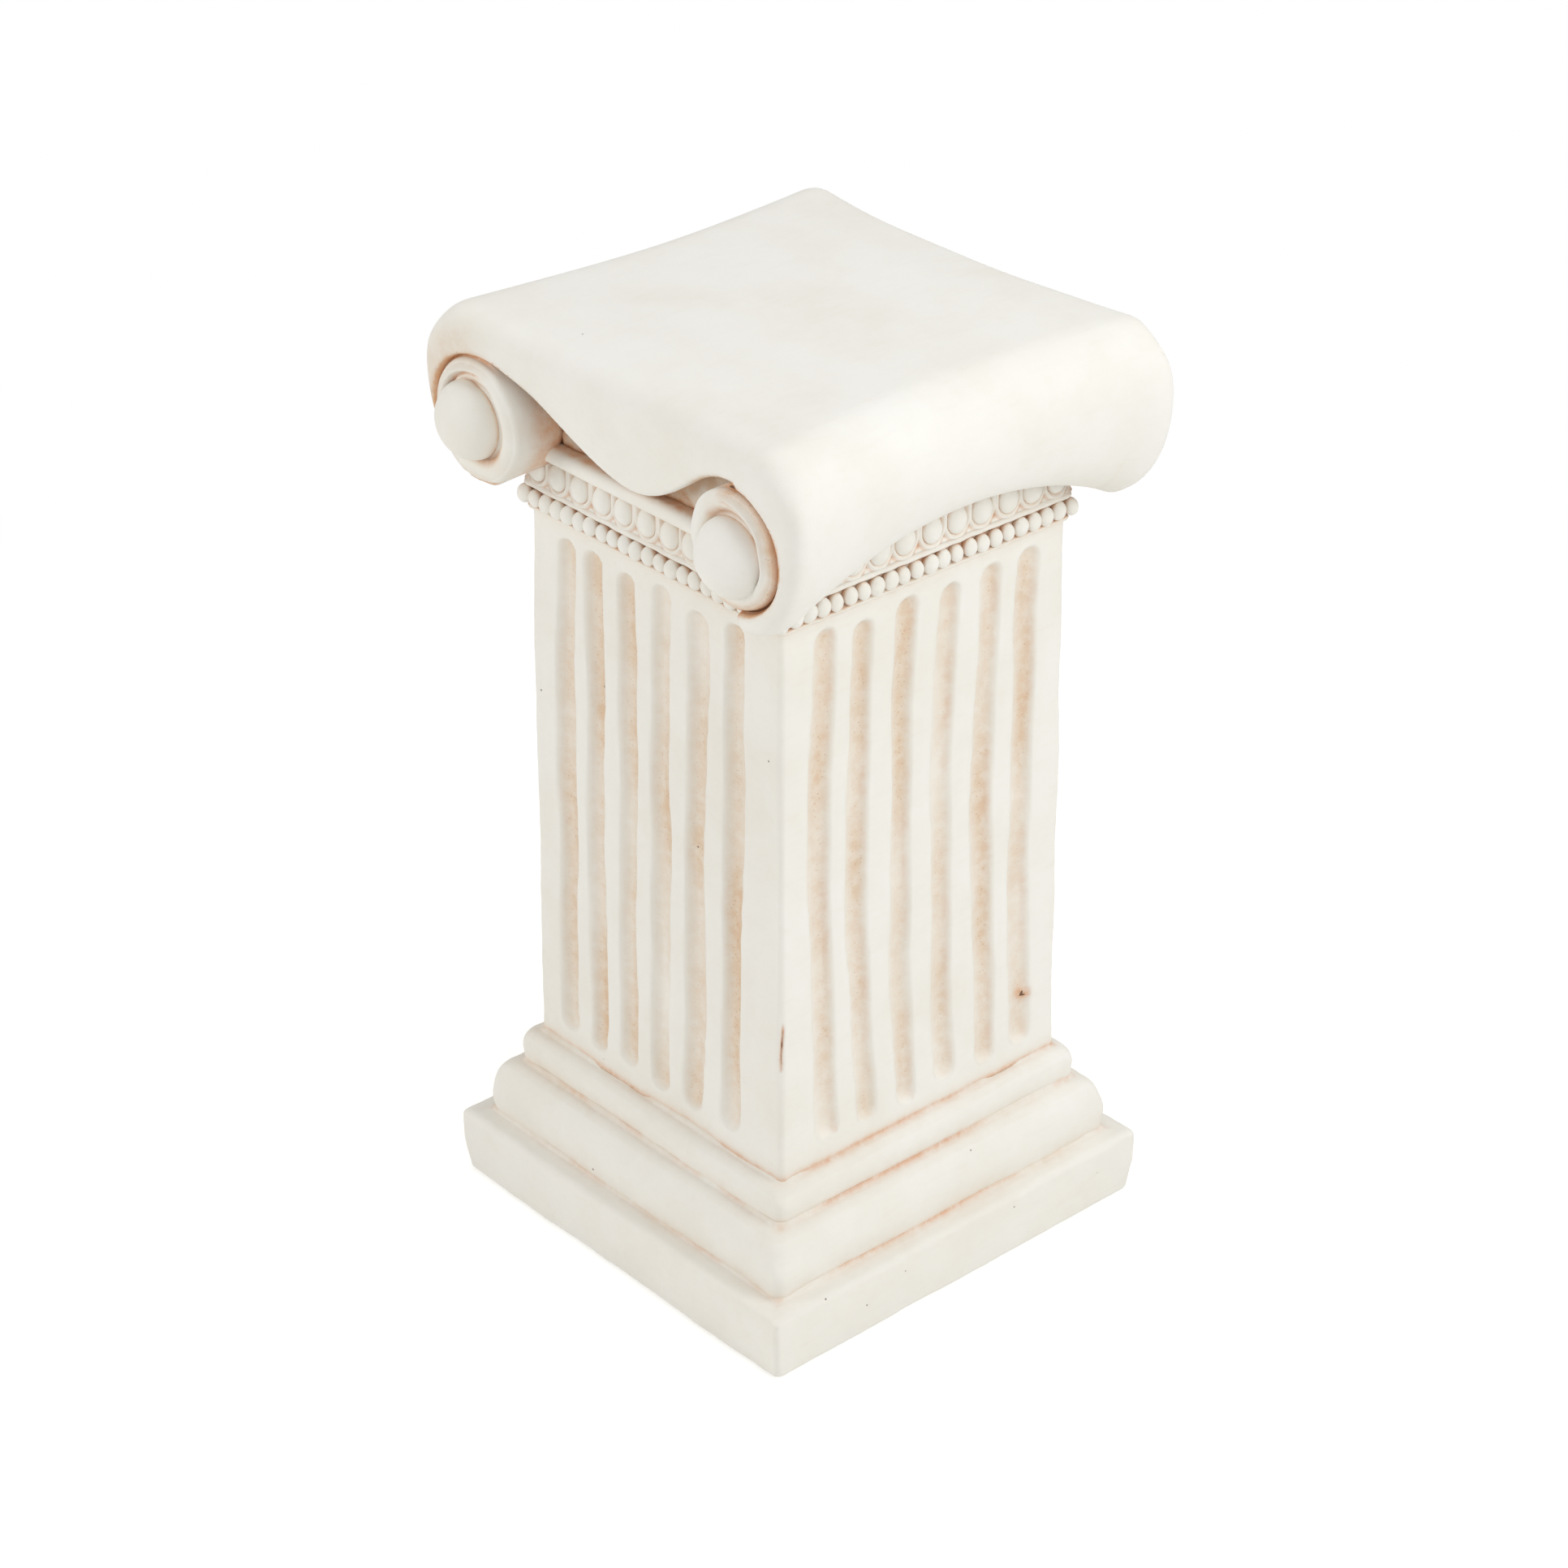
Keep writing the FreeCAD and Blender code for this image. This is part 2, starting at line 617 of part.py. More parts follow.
def volute_disc():
    """Upright form of a volute disc, with spigot, rounded rim and dished face."""
    dish = VOLUTE_FACE - DISH_DEEP
    rim = [
        (VOLUTE_RADIUS, VOLUTE_FACE - 0.5 * RIM_WIDE),
        (VOLUTE_RADIUS - 0.15 * RIM_WIDE, VOLUTE_FACE - 0.15 * RIM_WIDE),
        (VOLUTE_RADIUS - 0.5 * RIM_WIDE, VOLUTE_FACE),
    ]
    body = turned([(VOLUTE_RADIUS, CORE_HALF_Y)] + rim, BROAD_SIDES)
    hollow = turned([
        (VOLUTE_RADIUS - RIM_WIDE, dish),
        (rim[2][0], VOLUTE_FACE),
        (rim[2][0], DEPTH),
    ], BROAD_SIDES)
    spigot_foot = CORE_HALF_Y - VOLUTE_SPIGOT_LONG
    spigot = turned([(VOLUTE_SPIGOT, spigot_foot), (VOLUTE_SPIGOT, CORE_HALF_Y + 1)], FINE_SIDES)
    return body.cut(hollow).fuse(spigot)


def volute_eye():
    """Upright forms of a domed eye and of its seat."""
    spring = VOLUTE_FACE - DISH_DEEP
    foot = spring - EYE_SEAT_DEEP
    stations = [(EYE_RADIUS, foot), (EYE_RADIUS, spring)]
    for step in range(1, EYE_STEPS + 1):
        angle = math.radians(86 * step / EYE_STEPS)
        high = spring + (EYE_TIP - spring) * math.sin(angle) / math.sin(math.radians(86))
        stations.append((EYE_RADIUS * math.cos(angle), high))
    seat = turned([(EYE_RADIUS + JOINT_GAP, foot), (EYE_RADIUS + JOINT_GAP, DEPTH)], BROAD_SIDES)
    return turned(stations, BROAD_SIDES), seat


def volutes():
    """The four discs and the four eyes; a disc is notched at its back to clear the neck."""
    disc = volute_disc()
    eye, seat = volute_eye()
    eye_z = Z_VOLUTE - EYE_DROP
    pieces = {}
    for name, side, turn in volute_places():
        eye_x = side * (VOLUTE_X + EYE_OUT)
        here = outwards(disc, turn, side * VOLUTE_X, Z_VOLUTE).cut(neck_envelope())
        pieces["volute_" + name] = here.cut(outwards(seat, turn, eye_x, eye_z))
        pieces["eye_" + name] = outwards(eye, turn, eye_x, eye_z)
    return pieces


# ---------------------------------------------------------------- the pieces

for name, pad in foot_pads().items():
    save("foot_pad_" + name, pad)
save("plinth", plinth())
save("bed_plinth", bed(TORUS_HALF - BED_BACK, TORUS_HALF - 2 * WALL, Z_PLINTH_TOP))
save("base_torus", base_torus())
save("base_fillet", base_fillet())
save("bed_shaft_foot", bed(SHAFT_FOOT_HALF - BED_BACK, SHAFT_FOOT_HALF - WALL, Z_FILLET_TOP))
save("shaft", shaft())
save("bed_shaft_head", bed(SHAFT_HEAD_HALF - BED_BACK, SHAFT_HEAD_HALF - WALL, Z_SHAFT_TOP))
save("neck_band", neck_band())
for side, strip in bead_strips().items():
    save("bead_strip_" + side, strip)
save("egg_band", egg_band())
for side, row in egg_rows().items():
    save("eggs_" + side, row)
save("echinus_ring", echinus_ring())
save("capital_core", capital_core())
save("scroll_cover", scroll_cover())
for name, piece in volutes().items():
    save(name, piece)
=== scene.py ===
# %% [markdown]
# # A scroll-capital pedestal in antique white cast stone
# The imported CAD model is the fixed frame: it says where every piece is and how large it may be.
# Here each piece gets the soft, hand-finished surface of the real casting, one step at a time.
# Lengths are written in millimetres, because that is how the object was measured, and each mesh
# is turned to metres when it is made.

import math

import bpy
import numpy as np
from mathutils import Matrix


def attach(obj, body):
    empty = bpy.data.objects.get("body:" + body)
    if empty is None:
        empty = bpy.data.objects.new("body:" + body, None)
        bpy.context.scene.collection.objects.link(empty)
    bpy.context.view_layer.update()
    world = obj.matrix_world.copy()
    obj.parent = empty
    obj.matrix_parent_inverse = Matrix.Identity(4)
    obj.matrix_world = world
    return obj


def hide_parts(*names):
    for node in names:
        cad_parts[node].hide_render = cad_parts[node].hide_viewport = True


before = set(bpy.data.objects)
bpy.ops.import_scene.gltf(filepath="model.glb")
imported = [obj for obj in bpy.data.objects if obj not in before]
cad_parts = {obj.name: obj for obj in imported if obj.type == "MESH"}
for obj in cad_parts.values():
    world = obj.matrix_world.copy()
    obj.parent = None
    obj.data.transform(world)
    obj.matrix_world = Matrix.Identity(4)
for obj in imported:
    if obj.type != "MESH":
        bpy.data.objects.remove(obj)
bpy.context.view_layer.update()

# %% [markdown]
# A cast and hand-rubbed surface is never quite flat or straight. A few long sine waves in mixed
# directions make a gentle unevenness that is the same on every run, since the directions come
# from a fixed seed. It works on whole arrays of points at once, which keeps the script quick.

# %% Gentle unevenness
MM = 0.001


def unevenness(points, length, seed):
    """Smooth noise from -1 to 1 with waves about so many millimetres long."""
    rng = np.random.default_rng(seed)
    total = np.zeros(len(points))
    for _ in range(7):
        direction = rng.normal(size=3)
        direction *= 2 * math.pi / (length * rng.uniform(0.7, 1.6) * np.linalg.norm(direction))
        total += np.sin(points @ direction + rng.uniform(0, 2 * math.pi))
    return total / 3.2


def smooth_step(low, high, value):
    """0 below the first limit, 1 above the second, and an S-curve between."""
    share = np.clip((value - low) / (high - low), 0, 1)
    return share * share * (3 - 2 * share)


# %% [markdown]
# The tan wash is what gives this finish its age: thin brown paint is brushed on and wiped off
# again, so it stays only where the cloth can't reach. Each mesh carries two numbers at every
# vertex: "wash" for the soft tan in hollows, and "crease" for the orange-brown line in the
# tightest corners. In the flutes of the shaft both also carry painted shade on the right side.
# The material reads both, so the colour follows the shape from any side.

# %% Turn arrays into pieces
made = {}


def in_scene(name, data):
    """A new object of this data, in the scene."""
    thing = bpy.data.objects.new(name, data)
    bpy.context.collection.objects.link(thing)
    return thing


def piece(name, points, faces, wash, crease, nodes):
    """A smooth mesh from points in millimetres; it stands for the named CAD nodes."""
    mesh = bpy.data.meshes.new(name)
    mesh.from_pydata((points * MM).tolist(), [], faces)
    mesh.validate()
    for label, values in (("wash", wash), ("crease", crease)):
        layer = mesh.attributes.new(label, "FLOAT", "POINT")
        layer.data.foreach_set("value", np.clip(values, 0, 1).astype(np.float32))
    mesh.shade_smooth()
    thing = in_scene(name, mesh)
    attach(thing, "root")
    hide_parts(*nodes)
    made[name] = thing
    print(name, len(mesh.vertices), "vertices")


# %% [markdown]
# Every course of the column is a square with rounded corners, so one loop of samples serves them
# all. For each sample the loop keeps which side it is on, how far along, and which way is out.
# A course is then a stack of loops, each with its own half width, height and corner radius.

# %% A rounded square loop
class SquareLoop:
    """Samples round a square, starting at the left end of the front side."""

    def __init__(self, along, corner):
        outward = [(0, -1), (1, 0), (0, 1), (-1, 0)]
        rows = []
        for side in range(4):
            n, d = np.array(outward[side], float), np.array(outward[(side + 1) % 4], float)
            for u in np.linspace(-1, 1, along):
                rows.append((*n, *d, u, 0.0, side))
            for turn in np.linspace(0, math.pi / 2, corner + 2)[1:-1]:
                rows.append((*n, *d, 1.0, turn, side))
        rows = np.array(rows)
        self.n, self.d = rows[:, 0:2], rows[:, 2:4]
        self.u, self.turn, self.side = rows[:, 4], rows[:, 5], rows[:, 6].astype(int)
        self.out = self.n * np.cos(self.turn)[:, None] + self.d * np.sin(self.turn)[:, None]
        self.count = len(rows)

    def at(self, half, radius, z):
        """Points of the loop for one half width, corner radius and height."""
        middle = self.n * (half - radius) + self.d * ((half - radius) * self.u)[:, None]
        flat = middle + self.out * radius
        return np.column_stack([flat, np.full(self.count, z)])

    def along(self, half, radius):
        """Distance of each sample from the middle of its side."""
        return self.u * (half - radius)


def skin(rows, columns):
    """Quads over a closed stack of loops, with a fan at each end."""
    faces = []
    for row in range(rows - 1):
        first, second = row * columns, (row + 1) * columns
        for column in range(columns):
            after = (column + 1) % columns
            faces.append((first + column, first + after, second + after, second + column))
    foot, head = rows * columns, rows * columns + 1
    top = (rows - 1) * columns
    for column in range(columns):
        after = (column + 1) % columns
        faces.append((foot, after, column))
        faces.append((head, top + column, top + after))
    return faces


def stack(loop, profile, radius, wobble, seed, relief=None):
    """Points and faces of a course from its profile of (half, z); relief(half, z) moves them out."""
    layers = []
    for half, z in profile:
        points = loop.at(half, radius, z)
        push = wobble * unevenness(points, 60, seed)
        push = push + 0.4 * wobble * unevenness(points, 19, seed + 1)
        if relief is not None:
            push = push + relief(half, z)
        points[:, :2] += loop.out * push[:, None]
        layers.append(points)
    ends = [[0, 0, profile[0][1]], [0, 0, profile[-1][1]]]
    return np.vstack([*layers, ends]), skin(len(profile), loop.count)


# %% [markdown]
# The base has three tiers: a swollen plinth, a large ovolo and a small rounded tier. A profile is
# drawn as straight runs and elliptical quarter rounds, then sampled every millimetre or so. The
# wash lies where one tier meets the next, fading out over about a centimetre, and the crease is
# the last two millimetres.

# %% Profiles
def run(start, end, spacing=1.4):
    """Evenly spaced points of a straight run, without the last one."""
    count = max(1, int(math.dist(start, end) / spacing))
    return [(start[0] + (end[0] - start[0]) * i / count, start[1] + (end[1] - start[1]) * i / count)
            for i in range(count)]


def quarter(start, end, upright_first=True, count=12):
    """Elliptical quarter round, without its last point; it starts upright or level."""
    points = []
    for i in range(count):
        a = math.pi / 2 * i / count
        s, c = (math.sin(a), math.cos(a)) if upright_first else (1 - math.cos(a), 1 - math.sin(a))
        points.append((end[0] + (start[0] - end[0]) * c, start[1] + (end[1] - start[1]) * s))
    return points


# heights of the tiers in millimetres; the plinth stands 1 mm clear of the floor, on its pads
PLINTH_FOOT, PLINTH_TOP, TORUS_TOP, FILLET_TOP = 1.0, 35.0, 66.0, 83.0
HIDDEN = 60.0  # half width at which a course closes, out of sight under the next one
base_loop = SquareLoop(110, 8)


def tier(name, profile, radius, seed, cad_node, meets_above, lumpy):
    """One tier of the base, stained where it meets its neighbours."""

    def lumps(half, z):
        at = base_loop.at(half, radius, z)
        near_corner = smooth_step(0.90, 1.0, np.abs(base_loop.u))
        rough = lumpy * near_corner * unevenness(at * [0.6, 0.6, 1.0], 13, seed + 7)
        return rough + 0.08 * unevenness(at, 6, seed + 8)

    points, faces = stack(base_loop, profile, radius, 0.42, seed, lumps)
    z, half = points[:, 2], np.abs(points[:, :2]).max(axis=1)
    foot, head = profile[0][1], profile[-1][1]
    stands_on_tier = foot > 2
    above, inwards = np.maximum(z - foot - 0.6, 0), np.maximum(half - meets_above, 0)
    low = np.exp(-above / 4.0) * stands_on_tier
    high = np.exp(-inwards / 4.5) * (z > head - 4)
    line = np.maximum(np.exp(-above / 0.7) * stands_on_tier,
                      np.exp(-inwards / 0.8) * (z > head - 2.5))
    broken = smooth_step(-0.1, 0.8, unevenness(points, 34, seed + 6))
    stained_side = smooth_step(-80, -60, points[:, 1]) * smooth_step(40, 20, points[:, 1])
    stained_side = stained_side * (points[:, 0] > 80)
    patchy = 0.65 + 0.35 * unevenness(points, 70, seed + 5)
    piece(name, points, faces, 0.42 * np.maximum(low, high) * patchy + 0.04,
          line * np.maximum(0.45 * broken, 0.8 * stained_side), [cad_node])


plinth_profile = [(HIDDEN, PLINTH_FOOT)] + quarter((112.6, PLINTH_FOOT), (114.2, 2.4), False, 4)
plinth_profile += run((114.2, 2.4), (116.2, 18.0)) + run((116.2, 18.0), (116.5, 29.5))
plinth_profile += quarter((116.4, 31.6), (112.4, 34.9)) + run((112.4, 34.9), (107.3, PLINTH_TOP))
plinth_profile += [(106.6, 35.2), (106.1, 35.6), (105.7, 36.4), (105.0, 37.4), (103.0, 37.4)]
plinth_profile += [(HIDDEN, 34.8)]
tier("plinth_casting", plinth_profile, 3.2, 11, "plinth", 105.5, 0.15)

torus_profile = [(HIDDEN, 35.4), (104.4, 35.6), (105.2, 36.6)] + run((105.5, 37.6), (106.0, 45.0))
torus_profile += quarter((106.0, 45.0), (95.9, 64.7), count=20)
torus_profile += [(95.9, 64.7), (95.4, 65.0), (95.0, 65.5), (94.7, 66.2), (94.2, 67.2), (92.0, 67.2)]
torus_profile += [(HIDDEN, TORUS_TOP)]
tier("ovolo_casting", torus_profile, 5.0, 23, "base_torus", 94.6, 0.75)

fillet_profile = [(HIDDEN, 66.0), (93.4, 66.0), (94.1, 66.8)] + run((94.5, 67.8), (94.9, 73.0))
fillet_profile += quarter((94.9, 73.0), (88.6, 82.2), count=14)
fillet_profile += [(88.6, 82.2), (88.1, 82.5), (87.7, 83.1), (87.3, 84.0), (86.2, 84.6)]
fillet_profile += [(HIDDEN, FILLET_TOP)]
tier("fillet_casting", fillet_profile, 5.0, 37, "base_fillet", 87.4, 0.5)

# %% [markdown]
# The shaft is a tapered square with six flutes in each face, and they were plainly cut by hand:
# they lean, bend and vary in width. A grid that follows the faces and sinks where a flute runs
# gives soft edges without any boolean. Each flute has three measured places across its face, at
# the foot, the middle and the head, and a curve passes through them.

# %% Fluted shaft
SHAFT_FOOT, SHAFT_TOP = 82.6, 361.0
FLUTE_LINES = {
    0: [(-64, -63, -59), (-43, -42, -40), (-21, -19, -17), (2, 4, 6), (25, 28, 31), (50, 53, 55)],
    1: [(-57, -63, -59), (-33, -41, -36), (-9, -15, -11), (16, 10, 14), (42, 36, 40), (64, 60, 63)],
    2: [(-60, -57, -61), (-37, -34, -38), (-13, -11, -14), (11, 15, 10), (35, 38, 34), (58, 61, 59)],
    3: [(-62, -60, -57), (-38, -39, -34), (-15, -12, -10), (9, 12, 14), (33, 34, 38), (57, 60, 61)],
}
FLUTE_DEEP, FLUTE_HALF_WIDE = 4.2, 6.3
FLUTE_LOW, FLUTE_HIGH = 92.5, 353.5  # where the flutes begin and end
SHAFT_CORNER = 3.2  # radius of the arrises
KNOT = (66.5, 118.3)  # place of the stained knot on the right face: along, and height
shaft_loop = SquareLoop(148, 8)


def bedded(z):
    """How far up the shaft a height is, from 0 at its bed to 1 under the capital."""
    return (z - 84.5) / 275.0


def shaft_half(z):
    """Half width of the shaft at a height: straight sides, drawn in a little under the capital."""
    return 87.0 - 2.2 * bedded(z)


def flute_cut(loop, half, radius, z):
    """Depth in a flute, a line along its right wall that is partly wash and partly painted shade, and
    its wash, heavier on the right side as painted shade, all from 0 to 1.
    """
    t = loop.along(half, radius)
    depth, edge, wash_with_side_shade = np.zeros((3, loop.count))
    rise = bedded(z)
    for side, flutes in FLUTE_LINES.items():
        # share of the wash spread evenly across a flute; the rest is painted shade on its right side,
        # most on the right face
        even = 0.45 if side == 1 else 0.8
        for number, (foot, middle, head) in enumerate(flutes):
            seed = side * 10 + number
            bend = foot * (1 - rise) * (1 - 2 * rise) + middle * 4 * rise * (1 - rise)
            bend += head * rise * (2 * rise - 1)
            bend += 0.55 * math.sin(z / 24.0 + seed * 1.9) + 0.25 * math.sin(z / 9.5 + seed * 3.1)
            wide = 1 + 0.06 * math.sin(z / 30.0 + seed * 2.3) + 0.05 * math.sin(seed * 5.1)
            wide *= FLUTE_HALF_WIDE
            low = FLUTE_LOW + 1.6 * math.sin(seed * 4.0)
            high = FLUTE_HIGH + 1.8 * math.sin(seed * 2.7)
            past = max(low + wide - z, z - (high - wide), 0.0)
            if past >= wide:
                continue
            place = (t - bend) / wide
            across = np.hypot(place, past / wide)
            here = (loop.side == side) & (loop.turn == 0)
            cut = np.clip(1 - across ** 2.4, 0, 1) ** 0.72
            cut = (cut + 0.05 * np.exp(-((across - 1.05) / 0.12) ** 2)) * here
            depth = np.maximum(depth, cut)
            # a thin line along the right wall of each flute: partly wash, partly painted shade
            wall = np.exp(-((place - 0.74) / 0.20) ** 2) * (across < 1.05) * here
            wall *= 0.35 + 0.3 * math.sin(z / 21.0 + seed * 2.9) + 0.25 * math.sin(z / 4.1 + seed)
            edge = np.maximum(edge, wall)
            # the wash in the flute, with painted shade added on its right side
            wash_with_side_shade = np.maximum(wash_with_side_shade, cut * (even + (1 - even) * smooth_step(-0.7, 0.7, place)))
    return depth, edge, wash_with_side_shade


shaft_rows = [SHAFT_FOOT + 1.0 * i for i in range(13)]
shaft_rows += list(np.arange(96.0, 348.0, 2.4)) + [SHAFT_TOP - 13 + i for i in range(14)]
shaft_profile = [(shaft_half(z), z) for z in shaft_rows]
shaft_profile = [(55.0, SHAFT_FOOT)] + shaft_profile + [(55.0, SHAFT_TOP)]
cuts = {}


def shaft_relief(half, z):
    """Flutes, a swell at the foot, the crack in the front arris and the knot in the last flute."""
    depth, edge, wash_with_side_shade = np.zeros((3, shaft_loop.count))
    if half > HIDDEN:
        depth, edge, wash_with_side_shade = flute_cut(shaft_loop, half, SHAFT_CORNER, z)
    off_line = (shaft_loop.turn - 0.8 - 0.12 * math.sin(z / 5)) / 0.16
    crack = (shaft_loop.side == 0) * (shaft_loop.turn > 0) * np.exp(-off_line ** 2)
    crack = crack * smooth_step(142, 146, z) * smooth_step(168, 162, z)
    from_knot = np.hypot(shaft_loop.along(half, SHAFT_CORNER) - KNOT[0], z - KNOT[1])
    knot = (shaft_loop.side == 1) * np.exp(-(from_knot / 3.0) ** 2)
    # kept for colour: the flute wash with its painted shade, and the lines of painted shade on the
    # flute walls, the crack and the knot
    cuts[(half, z)] = (wash_with_side_shade, np.maximum(0.34 * edge, np.maximum(1.8 * crack, 1.4 * knot)))
    return -FLUTE_DEEP * depth - 1.0 * crack + 2.0 * knot + 0.5 * math.exp(-(z - SHAFT_FOOT) / 3.0)


shaft_points, shaft_faces = stack(shaft_loop, shaft_profile, SHAFT_CORNER, 0.45, 51, shaft_relief)
# the flute wash with painted shade on the right sides, and the crease lines: painted shade on the flute
# walls, the crack and the knot
flute_wash_and_shade, flute_shade_crack_knot = (np.concatenate([*[cuts[key][which] for key in shaft_profile], [0, 0]])
                          for which in (0, 1))
shaft_z = shaft_points[:, 2]
streak = 0.85 + 0.35 * unevenness(shaft_points * [1, 1, 0.22], 20, 53)
foot_wash = 0.40 * np.exp(-(shaft_z - 84.0) / 3.0) + 0.25 * np.exp(-(360.5 - shaft_z) / 3.0)
# the wash in the flutes is heavier on their right sides as painted shade, and the crease holds a
# painted shade line along their right walls
shaft_wash = np.maximum(0.74 * flute_wash_and_shade * streak, foot_wash) + 0.04
piece("shaft_casting", shaft_points, shaft_faces, shaft_wash,
      np.maximum(flute_shade_crack_knot, 0.6 * np.exp(-np.maximum(shaft_z - 84.2, 0) / 0.7)), ["shaft"])

# %% [markdown]
# Above the shaft come the bead course and the egg course, both cast in shallow relief. The band
# behind the beads is a plain channel between two thin edges, with a cable line over it. It could
# be swept along four sides; a stack of loops does the same and turns its corners cleanly.

# %% Neck band
neck_loop = SquareLoop(300, 10)
neck_profile = [(HIDDEN, 360.6), (85.6, 360.6), (86.4, 361.2), (86.6, 362.0), (86.0, 362.8)]
neck_profile += [(84.0, 363.4), (84.0, 371.0), (85.8, 371.6), (86.9, 372.2), (87.3, 373.0)]
neck_profile += [(87.2, 373.8), (86.6, 374.5), (85.7, 375.0), (85.4, 375.6), (HIDDEN, 375.6)]


def neck_relief(half, z):
    """Hand-pressed edges."""
    at = neck_loop.at(half, 4.0, z)
    return 0.25 * unevenness(at, 6, 61) * (half > 84.5)


neck_points, neck_faces = stack(neck_loop, neck_profile, 4.0, 0.15, 63, neck_relief)
neck_z = neck_points[:, 2]
channel = ((neck_z > 362.6) & (neck_z < 371.8)).astype(float)
neck_line = np.maximum(np.exp(-np.abs(neck_z - 375.2) / 0.5), channel)
piece("neck_casting", neck_points, neck_faces,
      0.12 + 0.5 * channel + 0.2 * np.exp(-np.abs(neck_z - 361.0) / 0.8),
      0.55 * neck_line * smooth_step(-0.8, 0.6, unevenness(neck_points, 18, 65)), ["neck_band"])

# %% [markdown]
# Behind the eggs, each egg sits in a U-shaped frame, and between two frames a small dart is left
# deep enough to hold the brown wash. Carving 44 frames one by one would take long, so the band has
# fine loops, and one formula pushes each sample out or in by its distance to the nearest frame.

# %% Egg band
EGG_MIDDLE, EGG_PITCH, EGGS = 383.3, 15.2, 11
EGG_FOOT, EGG_FRAME_WIDE, EGG_FRAME_TALL = 375.4, 6.8, 7.4
egg_profile = [(HIDDEN, EGG_FOOT)] + [(86.4, EGG_FOOT + 0.52 * i) for i in range(31)]
egg_profile += [(HIDDEN, 391.2)]
egg_seen = {}


def egg_relief(half, z):
    """Raised U-frames round the eggs, and darts between them."""
    if half < 80:
        egg_seen[(half, z)] = np.zeros(neck_loop.count)
        return np.zeros(neck_loop.count)
    t = neck_loop.along(half, 4.0)
    number = np.clip(np.round(t / EGG_PITCH), -(EGGS // 2), EGGS // 2)
    sway = 0.5 * np.sin(number * 2.1 + neck_loop.side)
    across = (t - number * EGG_PITCH - sway) / EGG_FRAME_WIDE
    down = min(z - EGG_MIDDLE, 0.0) / EGG_FRAME_TALL
    ring = (np.hypot(across, down) - 1.0) * EGG_FRAME_WIDE
    frame_edge = np.exp(-(ring / 1.05) ** 2)
    dart = smooth_step(0.9, 2.2, ring) * smooth_step(386.5, 380.0, z) * smooth_step(376.2, 378.0, z)
    foot = math.exp(-max(z - EGG_FOOT, 0) / 0.8)
    groove = smooth_step(0.2, -1.4, ring)
    flat = neck_loop.turn == 0
    outline = 0.75 * np.exp(-((ring + 1.3) / 0.6) ** 2) + 0.45 * np.exp(-((ring - 1.8) / 0.6) ** 2)
    egg_seen[(half, z)] = np.where(flat, np.maximum(dart, np.maximum(0.4 * groove, outline)), 0.3)
    return np.where(flat, 1.3 * frame_edge - 1.3 * dart - 0.6 * groove, 0.4) + 0.9 * foot


egg_points, egg_faces = stack(neck_loop, egg_profile, 4.0, 0.15, 71, egg_relief)
egg_low = np.concatenate([*[egg_seen[key] for key in egg_profile], [0, 0]])
piece("egg_frame_casting", egg_points, egg_faces, 0.12 + 0.5 * egg_low,
      egg_low * (0.45 + 0.55 * smooth_step(380.8, 377.6, egg_points[:, 2])), ["egg_band"])

# %% [markdown]
# The half-round over the eggs is the whitest line on the real piece, because a cloth runs along it
# easily. It is a plain quarter-and-quarter profile with a gentle hand wobble.

# %% Half-round
echinus_profile = [(HIDDEN, 391.0), (88.0, 391.0)]
for step in range(15):
    angle = math.radians(-84 + 12 * step)
    echinus_profile.append((88.4 + 4.1 * math.cos(angle), 395.5 + 4.5 * math.sin(angle)))
echinus_profile += [(87.6, 400.0), (HIDDEN, 400.0)]
echinus_points, echinus_faces = stack(neck_loop, echinus_profile, 5.0, 0.25, 81)
echinus_z = echinus_points[:, 2]
echinus_edge = np.exp(-(echinus_z - 391.0) / 1.2) + np.exp(-(400.0 - echinus_z) / 1.0)
piece("half_round_casting", echinus_points, echinus_faces, 0.5 * echinus_edge,
      0.8 * np.exp(-(400.0 - echinus_z) / 0.5), ["echinus_ring"])

# %% [markdown]
# The capital is one flowing form: a flat top that rolls under at the sides, a sheet that hangs
# in front, and round coves that hold the discs. Such a form is hard to draw with profiles, and easy
# to say as a field: a function that is negative inside and positive outside. A soft maximum keeps
# what two fields share, or cuts one from the other, and rounds the edge as plaster does.

# %% Fields
def soft_max(a, b, k):
    """Larger of two fields, rounded over a width k where they meet."""
    h = np.clip(0.5 + 0.5 * (a - b) / k, 0, 1)
    return b * (1 - h) + a * h + k * h * (1 - h)


TOP, ROLL_X, END_Y, CORE_X, CORE_Y = 460.0, 125.0, 112.5, 76.0, 86.0
VOLUTE_X, DISC_R, COVE_R = 84.5, 29.3, 30.6
EYE_R, SPRING_Y, EYE_TIP = 18.6, 110.6, 125.0
# each corner, as (side, front): place and size of its disc, then place and size of its eye
CORNERS = {(-1, -1): (86.3, 409.8, 0.98, 91.0, 409.0, 1.00),
           (1, -1): (84.5, 409.6, 0.905, 83.4, 405.8, 0.97),
           (-1, 1): (84.8, 409.2, 0.97, 86.4, 407.8, 0.99),
           (1, 1): (84.2, 409.9, 0.98, 87.4, 407.2, 1.00)}


def corner_values(p):
    """The corner's six values at each point, by the side and the front or back it lies on."""
    table = np.array([[CORNERS[(side, front)] for front in (-1, 1)] for side in (-1, 1)])
    return table[(p[:, 0] > 0).astype(int), (p[:, 1] > 0).astype(int)].T


def ellipse(x, z, wide, tall):
    """About the distance to an ellipse with its centre at zero."""
    near = np.hypot(x / wide, z / tall)
    return near * (near - 1) / (np.hypot(x / wide ** 2, z / tall ** 2) + 1e-9)


def lip(x):
    """Height of the drape's lower edge."""
    return TOP - 59.3 + 38.6 * smooth_step(0, 84, x)


